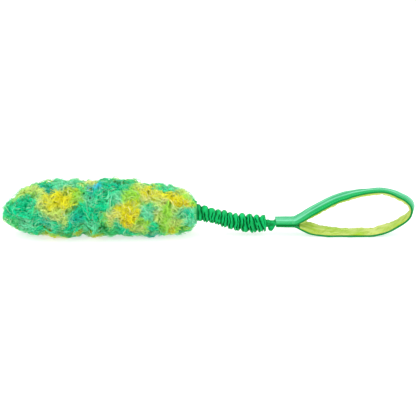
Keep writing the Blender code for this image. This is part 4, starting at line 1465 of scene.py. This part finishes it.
def fold_field(distances, turns):
    """Radius of the gathered cloth along and round the route, and how much painted shade each place gets for
    lying in a crease
    """
    folds_end = route_total - sleeve_end_gap - sleeve_neck_length
    draws = np.random.default_rng(3)
    along, turn = np.meshgrid(distances, turns, indexing="ij")
    middles = np.array(fold_place_shares) * route_total
    edges = np.concatenate([[-sleeve_back / 2], (middles[:-1] + middles[1:]) / 2, [folds_end]])
    leans = np.tan(np.radians(fold_lean_degrees)) * fold_radius * np.array(fold_radius_shares)
    edge_leans = [leans[0], *(leans[:-1] + leans[1:]) / 2, leans[-1] * end_lean_share]

    # Edges between the folds, which lean and wander round the sleeve
    bounds = []
    for edge, lean in zip(edges, edge_leans):
        wander = 0
        for order in wander_orders:
            depth = draws.uniform(*wander_strength) * fold_wander / order**wander_fall_power
            wander = wander + depth * np.sin(order * turn + draws.uniform(0, 2 * math.pi))
        wander = (end_wander_share if edge == folds_end else 1.0) * wander
        bounds.append(edge - lean * np.cos(turn) + wander)

    # Each fold is a ridge with slots pressed into it
    radius = np.full_like(along, crease_radius)
    best = np.zeros_like(along)
    for index, radius_share in enumerate(fold_radius_shares):
        usual = fold_radius * radius_share
        centre = (bounds[index] + bounds[index + 1]) / 2
        half = np.maximum((bounds[index + 1] - bounds[index]) / 2, fold_wander)
        swell = 0
        for order in swell_orders:
            swell = swell + draws.uniform(-1, 1) * np.sin(order * turn + draws.uniform(0, 2 * math.pi))
        across = np.clip(np.abs(along - centre) / half, 0.0, 1.0)
        ridge = np.power(1.0 - across**ridge_round_power, ridge_top_power)
        first = draws.uniform(*slot_first_turn)
        depth_share = end_slot_share if index == len(fold_radius_shares) - 1 else 1.0
        for slot in range(fold_slot_count):
            jitter = draws.uniform(-slot_turn_jitter, slot_turn_jitter)
            gap = turn_gap(turn, first + slot * slot_turn_step + jitter)
            slant = draws.uniform(-slot_slant, slot_slant)
            place = centre + draws.uniform(-slot_place_jitter, slot_place_jitter) * half + slant * gap
            near = np.exp(-((gap / draws.uniform(*slot_turn_width)) ** 4))
            slot_width = slot_half_width * draws.uniform(*slot_width_spread)
            cut = draws.uniform(*slot_depth_shares) * depth_share
            ridge = ridge * (1.0 - cut * near * np.exp(-(((along - place) / slot_width) ** 2)))
        best = np.maximum(best, ridge)
        rise = (usual - crease_radius) * (1.0 + swell_share * swell) * ridge
        radius = np.maximum(radius, crease_radius + rise)
    ripple = np.sin(turn * cloth_ripple_count + cloth_ripple_sway * np.sin(along * cloth_ripple_rate))
    radius = radius + cloth_ripple * ripple * smooth_step(best)
    # Painted shade in the creases: strongest where no ridge stands, varied by a soft noise
    fade = soft_noise(np.stack([along, fold_radius * turn], 2), fade_size, seed=15, octaves=1)
    crease = 1.0 - smooth_step(best * crease_gain - crease_start)
    return radius, crease * np.clip(fade_middle + fade_spread * fade, *fade_limits)


def sleeve():
    """The gathered sleeve: eleven soft folds drawn together over the cord, thin at the neck"""
    end = route_total - sleeve_end_gap
    distances = np.linspace(-sleeve_back, end, sleeve_rows)
    turns = full_turn(sleeve_sides)
    radius, depth = fold_field(distances, turns)
    neck_start = end - sleeve_neck_length - neck_lead
    neck = smooth_step((distances - neck_start) / (sleeve_neck_length + neck_slack))[:, None]
    gathers = neck_gather_depth * np.sin(turns * neck_gather_count)[None, :]
    radius = radius * (1 - neck) + (sleeve_neck_radius + gathers) * neck
    collar = np.sqrt(np.maximum(sleeve_collar_radius**2 - distances**2, crease_radius**2))[:, None]
    ripple = np.sin(turns * collar_ripple_count + collar_sway * np.sin(turns * collar_sway_count))
    collar = collar * (1 - collar_ripple_share + collar_ripple_share * ripple)
    hold = smooth_step(1 - distances / (fold_place_shares[0] * route_total))[:, None]
    radius = radius * (1 - hold) + np.clip(radius, collar, sleeve_collar_radius) * hold
    # Painted shade in the collar's creases, inside the mouth
    depth = depth * (1 - hold) + collar_crease * hold
    tuck = smooth_step((distances - (end - sleeve_tuck)) / sleeve_tuck)[:, None]
    radius = radius - sleeve_tuck * tuck
    # Painted shade at the thin gathered neck
    depth = np.clip(depth * (1 - neck) + neck_crease * neck, 0, 1)
    outer = around_route(distances, radius, turns)
    bore_distances = np.linspace(end, -sleeve_back, bore_rows)
    bore = np.full((bore_rows, sleeve_sides), sleeve_bore_radius)
    bore_neck = smooth_step((bore_distances - (end - bore_neck_start)) / bore_neck_length)[:, None]
    bore = bore * (1 - bore_neck) + bore_neck_radius * bore_neck
    inner = around_route(bore_distances, bore, turns)
    places = np.concatenate([outer, inner])
    bore_lengths = route_total * gathered_share + (route_total - bore_distances)
    lengths = np.concatenate([distances * gathered_share, bore_lengths, [0.0]])
    lengths[-1] = lengths[-2] + seam_cloth_length
    cloth = cloth_map(lengths, np.linspace(0.0, 2 * math.pi * fold_radius, sleeve_sides + 1))
    # Painted shade all through the bore inside the sleeve
    crease_shades = np.concatenate([depth, np.full_like(bore, bore_crease)])
    item = loft("gathered_sleeve", places, emerald, cloth, joined=True, values=(("crease", crease_shades),))
    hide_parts("bungee_sleeve")
    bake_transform(item)


def elastic_core():
    """The braided elastic cord inside the sleeve"""
    start = rear_knot_radius + seam_gap
    end = route_total - neck_tie_radius - seam_gap
    distances = np.linspace(start, end, core_rows)
    turns = full_turn(core_sides)
    along, turn = np.meshgrid(distances, turns, indexing="ij")
    one_way = np.abs(np.sin(turn * braid_count + along * braid_rate))
    other_way = np.abs(np.sin(turn * braid_count - along * braid_rate))
    radius = cord_radius - braid_groove + braid_rise * (one_way + other_way)
    places = around_route(distances, radius, turns)
    cloth = cloth_map(distances, np.linspace(0.0, 2 * math.pi * cord_radius, core_sides + 1))
    item = loft("elastic_core", places, elastic, cloth)
    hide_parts("bungee_cord")
    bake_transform(item)


def neck_ball():
    """The gathered neck that the handle turns on"""
    tilts = np.linspace(neck_pole_turn, math.pi - neck_pole_turn, neck_rows)
    tilt, turn = np.meshgrid(tilts, full_turn(neck_sides), indexing="ij")
    gather = np.sin(turn * neck_gather_count)
    radius = neck_ball_radius + neck_pleat_depth * gather * np.sin(tilt)
    across = np.sin(tilt) * radius
    places = np.stack([-np.cos(tilt) * radius, -across * np.sin(turn), across * np.cos(turn)], 2)
    places = places + np.array(neck_pivot)
    around = np.linspace(0.0, 2 * math.pi * neck_ball_radius, neck_sides + 1)
    cloth = cloth_map(tilts * neck_ball_radius, around)
    # Painted shade in the troughs of the pleats
    usual, swing = neck_pleat_creases
    depth = np.clip(usual - swing * gather, 0, 1)
    item = loft("gathered_neck", places, emerald, cloth, values=(("crease", depth),))
    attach(item, "neck_link")
    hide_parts("neck_tie")


def lump_and_tab():
    """The pleated end of the sleeve, which flattens into a tab between the plies"""
    back_x = neck_pivot.x + lump_setback
    front_x = tail_x - seam_gap
    lump_length = front_x - back_x
    table = []
    for along, height, width, drop in lump_section_shares:
        halves = (height * lump_radius, width * lump_radius)
        table.append((back_x + along * lump_length, *halves, tail_height - drop * lump_drop))
    for distance in (0.0, tab_length / 2, tab_length):
        table.append((front_x + distance, tab_thickness / 2, tab_width / 2, tail_height))
    table = np.array(table)
    tab = np.linspace(front_x + tab_lead, table[-1, 0], tab_rows)
    rows = np.concatenate([np.linspace(back_x, front_x, lump_rows), tab])
    height, width, middle = (np.interp(rows, table[:, 0], table[:, column]) for column in (1, 2, 3))
    steps = lump_smooth_steps
    kernel = np.ones(2 * steps + 1) / (2 * steps + 1)
    for part in (height, width, middle):
        smooth = np.convolve(np.pad(part, steps, mode="edge"), kernel, "valid")
        part[steps + 1 : lump_rows] = smooth[steps + 1 : lump_rows]
    fade_start = back_x + pleat_fade_start_share * lump_length
    fade = 1 - smooth_step((rows - fade_start) / (pleat_fade_length_share * lump_length))[:, None]
    turn = np.broadcast_to(full_turn(lump_sides), (len(rows), lump_sides))
    wave = np.cos(lump_pleat_count * (turn + pleat_sway * np.sin(2 * turn + 1.0)))
    pleat = lump_pleat_depth * wave * fade
    round_off = np.clip((rows - back_x) / lump_round_length, 0.0, 1.0)
    swell = (lump_end_share + (1 - lump_end_share) * np.sqrt(1 - (1 - round_off) ** 2))[:, None]
    flatness = np.minimum(1.0, height / width)[:, None]
    y = -(width[:, None] * swell + pleat) * np.sin(turn)
    z = middle[:, None] + (height[:, None] * swell + pleat * flatness) * np.cos(turn)
    z = z + tail_roll(rows - tail_x)[:, None] * y
    places = np.stack([np.broadcast_to(rows[:, None], y.shape), y, z], 2)
    # Painted shade in the troughs of the pleats, fading out with them
    usual, swing = pleat_creases
    depth = np.clip(usual - swing * wave * fade, 0, 1)
    cloth = cloth_map(rows, np.linspace(0.0, 2 * math.pi * lump_radius, lump_sides + 1))
    item = loft("sleeve_end_and_tab", places, emerald, cloth, values=(("crease", depth),))
    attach(item, "handle")
    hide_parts("sleeve_tab")
    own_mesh(item)


# Handle


def strap_middle():
    """Middle of the webbing: out along the upper ply, round the loop and back along the lower ply"""
    upper = tail_height + ply_step
    lower = tail_height - ply_step
    ply_places = (tail_x, crotch_x - ply_straight_end, crotch_x - crotch_lead)
    points = [Vector((place, 0.0, upper)) for place in ply_places]
    for length_share, height_share in loop_shares:
        height = webbing_thickness / 2 + height_share * (loop_height - webbing_thickness)
        points.append(Vector((crotch_x + length_share * (loop_length - webbing_thickness / 2), 0.0, height)))
    points += [Vector((place, 0.0, lower)) for place in reversed(ply_places)]
    run = np.array([tuple(point) for point in smooth_run(points, strap_steps)])
    run[:, 2] = np.maximum(run[:, 2], webbing_thickness / 2)
    lengths = lengths_along(run)
    first = lengths[ply_point_count * strap_steps]
    last = lengths[len(run) - 1 - ply_point_count * strap_steps]
    return run, lengths[-1], first, last


strap, strap_total, lined_from, lined_to = strap_middle()


def strap_turn(distances):
    """At distances along the strap, how the way across it leans up and leans towards the loop's end"""
    table = np.array(skew_shares)
    place = np.clip(distances / strap_total, 0.0, 1.0)
    row = np.clip(np.searchsorted(table[:, 0], place), 1, len(table) - 1)
    start, end = table[row - 1], table[row]
    share = smooth_step((place - start[:, 0]) / (end[:, 0] - start[:, 0]))[:, None]
    _, skew, reach = (start + (end - start) * share).T
    return -loop_skew * skew / webbing_width, 2 * loop_reach * reach / webbing_width


def tail_roll(distances):
    """How the way across the tail leans up, at distances from its end towards the loop"""
    rise, _ = strap_turn(np.clip(distances, 0.0, tail_length))
    return rise


def edge_lift(distances, across):
    """How far the webbing's edges curl in along the upper strand, and are pinched together at the tail"""
    place = np.clip(distances / strap_total, 0.0, 1.0)
    curl = edge_curl * np.interp(place, *np.array(curl_shares).T)[:, None]
    past_middle = np.abs(across) - webbing_width / 2
    reach = np.clip((past_middle + edge_curl_width) / edge_curl_width, 0.0, 1.0)
    from_end = np.minimum(distances, strap_total - distances)
    in_tail = smooth_step((tail_length - from_end) / ply_straight_end)[:, None]
    edge = smooth_step((past_middle + tail_pinch_width) / tail_pinch_width)
    return curl * reach**2 + tail_pinch * in_tail * edge


def on_strap(distances, across, offset):
    """Places on the strap: distance along it, place across it and offset towards the inside of the loop"""
    places, ways = read_run(strap, distances)
    rise, reach = strap_turn(distances)
    wide = np.stack([reach, np.sqrt(1 - rise**2 - reach**2), rise], 1)
    inward = np.cross(wide, ways)
    inward /= np.linalg.norm(inward, axis=1, keepdims=True)
    offset = offset + edge_lift(distances, across)
    sideways = wide[:, None, :] * across[..., None]
    return places[:, None, :] + inward[:, None, :] * offset[..., None] + sideways


def flat_section(columns, round_steps):
    """A flat section with round edges, in shares of its flat half width, edge radius and half thickness"""
    flat = [(2 * index / columns - 1, 0.0, 1.0) for index in range(columns + 1)]
    angles = [math.pi * step / (round_steps + 1) for step in range(1, round_steps + 1)]
    ring = flat + [(1.0, math.sin(angle), math.cos(angle)) for angle in angles]
    ring += [(share, 0.0, -1.0) for share, _, _ in reversed(flat)]
    ring += [(-1.0, -math.sin(angle), -math.cos(angle)) for angle in angles]
    return np.array(ring).T


def webbing():
    """The handle's strap of woven webbing, with its seams drawn in a little"""
    rows = round(strap_total / strap_row_step)
    distances = np.linspace(0.0, strap_total, rows)
    flat, bulge, level = flat_section(webbing_columns, webbing_edge_steps)
    edge_radius = webbing_thickness / 2
    half = webbing_width / 2
    section = np.stack([flat * (half - edge_radius) + bulge * edge_radius, level * edge_radius], 1)
    across = np.broadcast_to(section[:, 0], (rows, len(section))).copy()
    offset = np.broadcast_to(section[:, 1], (rows, len(section))).copy()

    # Grooves along the seams and where the curled edges begin, and edges that wander
    near_seam = np.exp(-((np.abs(across) - (half - seam_inset)) ** 2) / seam_groove_width**2)
    between = np.abs(np.sin(math.pi * distances / stitch_pitch))[:, None]
    pull = 1 - seam_slack_share + seam_slack_share * between
    offset -= np.sign(offset) * seam_groove * near_seam * pull
    rim_place = half - edge_curl_width
    crease = np.exp(-((np.abs(across) - rim_place) ** 2) / rim_groove_width**2)
    curl = np.interp(distances / strap_total, *np.array(curl_shares).T)[:, None]
    offset -= np.sign(offset) * rim_groove * crease * curl
    wander = sum(depth * np.sin(distances * rate + start) for depth, rate, start in edge_waves)
    across += np.sign(across) * wander[:, None] * (np.abs(across) / half) ** edge_wave_power
    places = on_strap(distances, across, offset)
    places[..., 2] = np.maximum(places[..., 2], floor_gap / 3)

    # Where the finish paints shade: dark on the rounded edges and in the groove where the curl begins, and a
    # saturated rim, strong on the near side and more so where the rims curl in, weak on the far side
    ends = np.abs(section[:, 0]) / half
    edge = np.broadcast_to(smooth_step((ends - edge_start_share) / edge_fade_share), across.shape)
    plain, curled = edge_crease_shares
    edge = np.maximum(edge, crease * (plain + curled * curl))
    near_rim = 1 - rim_curl_share + rim_curl_share * curl
    strength = np.where(across < 0, near_rim, far_rim_share)
    rim_shade = smooth_step((np.abs(across) - rim_place) / rim_fade_width) * strength
    steps = np.linalg.norm(np.diff(section, axis=0, append=section[:1]), axis=1)
    cloth = cloth_map(distances, np.concatenate([[0.0], np.cumsum(steps)]))
    item = loft("handle_webbing", places, handle_green, cloth, values=(("edge", edge), ("rim_shade", rim_shade)))
    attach(item, "handle")
    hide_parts("handle_strap")


def lining_share(distances):
    """How full the lining is: none at the seams at the tail, all of it along the loop"""
    from_end = np.minimum(distances - lined_from, lined_to - distances)
    return np.clip(from_end / lining_taper, 0.0, 1.0)


def lining_depth(distances):
    """Thickness of the lining, thin where it is caught in the seam at the tail"""
    full = lining_thickness * np.interp(distances / strap_total, *np.array(lining_shares).T)
    return lining_end_thickness + (full - lining_end_thickness) * lining_share(distances)


def lining():
    """The soft lining inside the loop, crowned between its seams and puckered along them"""
    rows = round((lined_to - lined_from) / strap_row_step)
    distances = np.linspace(lined_from, lined_to, rows)
    thick = lining_depth(distances)
    width = webbing_width - 2 * lining_inset
    half = width / 2
    flat, bulge, level = flat_section(lining_columns, lining_edge_steps)
    edge_radius = thick[:, None] / 2
    across = flat * (half - edge_radius) + bulge * edge_radius
    offset = level * edge_radius
    fraction = np.abs(across) / half
    amount = lining_share(distances)[:, None] * np.where(level > 0, 1.0, 0.0)
    pucker = np.abs(np.sin(math.pi * (distances - lined_from) / stitch_pitch))[:, None]
    dip = np.exp(-((np.abs(across) - (half - seam_inset + lining_inset)) ** 2) / dip_width**2)
    crown = (1 - fraction**4) * crown_share * thick[:, None]
    line = np.stack([distances, np.zeros(rows)], 1)
    folds = soft_noise(line, edge_fold_size, seed=41)[:, None]
    lengthwise, crosswise = wrinkle_slant_shares
    along = np.broadcast_to(distances[:, None], across.shape)
    slant = np.stack([along + across * lengthwise, across * crosswise], 2)
    wrinkle = soft_noise(slant, wrinkle_size, seed=42)
    wrinkles = wrinkle_depth * wrinkle * (wrinkle_middle_share + fraction)
    offset += amount * (crown + wrinkles - (dip_depth - dip_pucker * pucker) * dip)
    edge = edge_fold_depth * folds - edge_draw + edge_pucker * pucker
    across += amount * np.sign(across) * fraction**6 * edge
    middle = webbing_thickness / 2 + seam_gap + thick / 2
    places = on_strap(distances, across, offset + middle[:, None])
    # Painted shade: in the dips at the seams, less where they pucker up, and in the troughs of the wrinkles
    crease = dip_crease * dip * (1 - 0.5 * pucker) - wrinkle_crease * wrinkle
    depth = np.clip(amount * crease, 0, deepest_crease)
    cloth = cloth_map(distances, np.linspace(0.0, 2 * width, len(flat) + 1))
    item = loft("loop_lining", places, lime_fleece, cloth, values=(("crease", depth),))
    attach(item, "handle")
    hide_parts("handle_lining")


# Stitches


def stitch_shape():
    """One stitch: a short thread bowed up in the middle, its ends drawn into the cloth"""
    bpy.ops.mesh.primitive_cylinder_add(
        vertices=stitch_sides,
        radius=stitch_radius,
        depth=stitch_length,
        end_fill_type="TRIFAN",
        rotation=(0, math.pi / 2, 0),
    )
    item = bpy.context.object
    bpy.ops.object.transform_apply(location=True, rotation=True, scale=True)
    bpy.ops.object.mode_set(mode="EDIT")
    bpy.ops.mesh.select_all(action="DESELECT")
    shape = bmesh.from_edit_mesh(item.data)
    half = stitch_length / 2
    long_edges = [edge for edge in shape.edges if abs(edge.verts[0].co.x - edge.verts[1].co.x) > half]
    bmesh.ops.subdivide_edges(shape, edges=long_edges, cuts=stitch_cuts)
    for point in shape.verts:
        share = abs(point.co.x) / half
        slim = 1.0 - stitch_thin_share * share**4
        point.co.y *= slim
        point.co.z *= slim
        point.co.z -= stitch_radius * (stitch_sink_share + stitch_bow_share * share**3)
    bmesh.update_edit_mesh(item.data)
    bpy.ops.object.mode_set(mode="OBJECT")
    mesh = item.data
    bpy.data.objects.remove(item)
    return mesh


def sewn_piece(name, stitches, finish, node_names=()):
    """Copies of one stitch at places with their way along and way up, as one piece"""
    pattern = stitch_shape()
    joined = bmesh.new()
    for place, way, up, stretch in stitches:
        copy = pattern.copy()
        side = up.cross(way).normalized()
        turn = Matrix((way, side, up)).transposed().to_4x4()
        copy.transform(Matrix.Translation(place) @ turn @ Matrix.Diagonal((stretch, 1.0, 1.0, 1.0)))
        joined.from_mesh(copy)
        bpy.data.meshes.remove(copy)
    bmesh.ops.recalc_face_normals(joined, faces=joined.faces)
    mesh = bpy.data.meshes.new(name)
    joined.to_mesh(mesh)
    joined.free()
    bpy.data.meshes.remove(pattern)
    item = link_object(name, mesh, finish)
    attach(item, "handle")
    if node_names:
        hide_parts(*node_names)


def tail_row(start, end, under):
    """Stitches in a straight line on a face of the tail, between two places given along and across it"""
    span = math.dist(start, end)
    count = max(1, round(span / stitch_pitch))
    shares = (np.arange(count * 2 + 1) / (2 * count))[:, None]
    line = np.array(start) + (np.array(end) - np.array(start)) * shares
    distances = strap_total - line[:, 0] if under else line[:, 0]
    across = line[:, 1:]
    offset = np.full_like(across, stitch_sink - webbing_thickness / 2)
    places = on_strap(distances, across, offset)[:, 0]
    above = on_strap(distances, across, offset - webbing_thickness)[:, 0]
    stitches = []
    for index in range(1, 2 * count, 2):
        way = Vector(places[index + 1] - places[index - 1]).normalized()
        up = Vector(above[index] - places[index]).normalized()
        stitches.append((Vector(places[index]), way, up, span / count / stitch_pitch))
    return stitches


def tail_stitches():
    """Rows of stitching round the tail and down its middle, on both faces, and bar tacks at the crotch"""
    start = stitch_margin
    end = tail_length - bar_tack_setback - bar_tack_length - stitch_margin
    half = webbing_width / 2 - stitch_margin
    tack_half = webbing_width / 2 - stitch_margin / 2
    frame_rows = [((start, across), (end, across)) for across in (-half, 0.0, half)]
    frame_rows += [((place, -half), (place, half)) for place in (start, end)]
    tack_rows = []
    for index in range(bar_tack_thread_count):
        middle = tail_length - bar_tack_setback - bar_tack_length * (index + 0.5) / bar_tack_thread_count
        lean = bar_tack_length / bar_tack_thread_count / 2 * (1 if index % 2 else -1)
        tack_rows.append(((middle - lean, -tack_half), (middle + lean, tack_half)))
    for word in ("top", "under"):
        for name, node, rows in (
            ("tail_stitching", "tail_stitch", frame_rows),
            ("crotch_bar_tack", "crotch_tack", tack_rows),
        ):
            stitches = [stitch for row in rows for stitch in tail_row(*row, word == "under")]
            sewn_piece(f"{name}_{word}", stitches, green_thread, (f"{node}_{word}",))


def loop_stitches():
    """The two seams that hold the lining, as stitches on the webbing's outer face and in the lining"""
    count = round((lined_to - lined_from) / stitch_pitch)
    distances = lined_from + (lined_to - lined_from) * (np.arange(count) + 0.5) / count
    half = webbing_width / 2 - seam_inset
    outside = np.full(count, -(webbing_thickness / 2 - seam_groove * outer_seam_share))
    sunk = inner_seam_depth * lining_share(distances)
    inside = webbing_thickness / 2 + seam_gap + lining_depth(distances) - sunk
    for name, offsets, side, finish in (
        ("loop_seams_outside", outside, -1.0, green_thread),
        ("loop_seams_inside", inside, 1.0, lime_thread),
    ):
        level = offsets[:, None]
        stitches = []
        for across in (-half, half):
            columns = np.full((count, 1), across)
            places = on_strap(distances, columns, level)[:, 0]
            ahead = on_strap(distances + seam_read_step, columns, level)[:, 0]
            above = on_strap(distances, columns, level + side * seam_read_height)[:, 0]
            for index in range(count):
                place = Vector(places[index])
                if place.z < stitch_radius * floor_seam_share and side < 0:
                    continue
                way = (Vector(ahead[index]) - place).normalized()
                up = (Vector(above[index]) - place).normalized()
                stitches.append((place, way, up, 1.0))
        sewn_piece(name, stitches, finish)


# Pieces inside the toy


def squared(wave):
    """A wave with flatter tops and steeper sides"""
    return np.sign(wave) * np.abs(wave) ** hem_square_power


def hem():
    """The gathered hem that lines the mouth"""
    low, high = (Vector(corner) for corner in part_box("mouth_hem"))
    outer = (high.z - low.z) / 2
    angle, turn = np.meshgrid(full_turn(hem_sides), full_turn(hem_turns), indexing="ij")
    x = (low.x + high.x) / 2 + (high.x - low.x) / 2 * squared(np.cos(angle))
    sway = hem_gather_sway * np.sin(turn * hem_sway_count)
    gather = hem_gather_depth * np.sin(turn * hem_gather_count + sway) * np.abs(np.cos(angle))
    thick = hem_wall / 2 * hem_wall_share * squared(np.sin(angle))
    radius = outer - hem_wall / 2 + thick - np.abs(gather)
    places = np.stack([x, -radius * np.sin(turn), (high.z + low.z) / 2 + radius * np.cos(turn)], 2)
    around = np.linspace(0, 2 * math.pi * outer, hem_turns + 1)
    cloth = cloth_map(np.linspace(0, hem_cloth_length, hem_sides + 1), around)
    item = loft("gathered_hem", places, dyed_cotton, cloth, joined=True)
    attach(item, "tug")
    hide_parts("mouth_hem")


def soft_copy(node, name):
    """A finer, lumpy copy of a half of the stuffing, kept inside it"""
    mesh = nodes[node].data.copy()
    mesh.materials.clear()
    item = link_object(name, mesh, wadding)
    bpy.context.view_layer.objects.active = item
    item.select_set(True)
    bpy.ops.object.mode_set(mode="EDIT")
    bpy.ops.mesh.select_all(action="SELECT")
    bpy.ops.mesh.remove_doubles(threshold=merge_distance)
    bpy.ops.object.mode_set(mode="OBJECT")
    remesh = item.modifiers.new("fine", "REMESH")
    remesh.mode = "VOXEL"
    remesh.voxel_size = wadding_voxel
    remesh.use_smooth_shade = True
    bpy.ops.object.modifier_apply(modifier="fine")
    points = item.data.vertices
    places = np.empty(len(points) * 3, np.float32)
    normals = np.empty(len(points) * 3, np.float32)
    points.foreach_get("co", places)
    points.foreach_get("normal", normals)
    places = places.reshape(-1, 3).astype(float)
    lumps = np.clip(soft_noise(places, wadding_lump_size, seed=51, octaves=3), -1, 1)
    sink = wadding_lump_depth * (1 - wadding_lump_share + wadding_lump_share * lumps)
    places -= normals.reshape(-1, 3) * sink[:, None]
    points.foreach_set("co", places.astype(np.float32).ravel())
    item.data.update()
    item.select_set(False)
    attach(item, "tug")
    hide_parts(node)


def cotton_bag():
    """The thin cotton bag round the stuffing, slightly wrinkled"""
    lengths = np.linspace(skin_end * bag_start_share, skin_end - bag_end_setback, bag_rows)
    length, turn = np.meshgrid(lengths, full_turn(bag_sides), indexing="ij")
    inset = pile_room(length) - (bag_depth + bag_gap)
    flat = over_skin(length, turn, inset) * np.array(bag_wrinkle_stretch)
    wrinkle = bag_wrinkle_depth * (soft_noise(flat, bag_wrinkle_size, seed=61) - 1.0)
    outer = over_skin(length, turn, inset + wrinkle)
    inner = over_skin(length[::-1], turn[::-1], (inset + wrinkle)[::-1] - bag_wall)
    places = np.concatenate([outer, inner])
    around = np.linspace(0, bag_cloth_width, bag_sides + 1)
    cloth = cloth_map(np.linspace(0, 2 * skin_end, 2 * bag_rows), around)
    item = loft("cotton_bag", places, cotton, cloth)
    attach(item, "tug")
    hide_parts("inner_bag")


def bellows():
    """The squeaker's pleated wall, which folds together on the real toy as its cap is pressed in; here a
    copy of the solid one as it stands
    """
    mesh = nodes["squeaker_bellows"].data.copy()
    mesh.materials.clear()
    item = link_object("pleated_bellows", mesh, plastic)
    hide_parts("squeaker_bellows")
    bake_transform(item)


def dress_node(name, finish):
    """A CAD node that keeps its shape gets its finish"""
    materials = nodes[name].data.materials
    materials.clear()
    materials.append(finish)


set_camera()
set_floor_and_light()
emerald = sleeve_finish()
elastic = thread_finish("braided_elastic", (0.62, 0.62, 0.58), (0.86, 0.86, 0.82), 0.75)
handle_green = webbing_finish()
lime_fleece = lining_finish()
green_thread = thread_finish("green_thread", (0.01, 0.36, 0.10), (0.05, 0.56, 0.20))
lime_thread = thread_finish("lime_thread", (0.44, 0.61, 0.04), (0.60, 0.73, 0.12))
cotton = fibre_finish("bag_cotton", (0.74, 0.73, 0.68), (0.86, 0.85, 0.80), 1600.0)
dyed_cotton = fibre_finish("dyed_hem", (0.02, 0.42, 0.14), (0.22, 0.70, 0.26), 1600.0)
wadding = fibre_finish("wadding_fibre", (0.80, 0.80, 0.78), (0.92, 0.92, 0.90), 700.0, 0.95, 0.0012)
strap_green = fibre_finish("inner_webbing", (0.02, 0.40, 0.14), (0.06, 0.56, 0.22), 1800.0, 0.8)
plastic = plastic_finish()

undercoat()
pile()
sleeve()
elastic_core()
neck_ball()
lump_and_tab()
webbing()
lining()
tail_stitches()
loop_stitches()
hem()
cotton_bag()
soft_copy("stuffing_upper", "upper_wadding")
soft_copy("stuffing_lower", "lower_wadding")
bellows()
dress_node("body_strap", strap_green)
dress_node("rear_knot", elastic)
for thread_piece in ("nose_tack", "rear_whipping", "front_whipping"):
    dress_node(thread_piece, green_thread)
for squeaker_piece in ("squeaker_base", "squeaker_reed", "squeaker_cap"):
    dress_node(squeaker_piece, plastic)
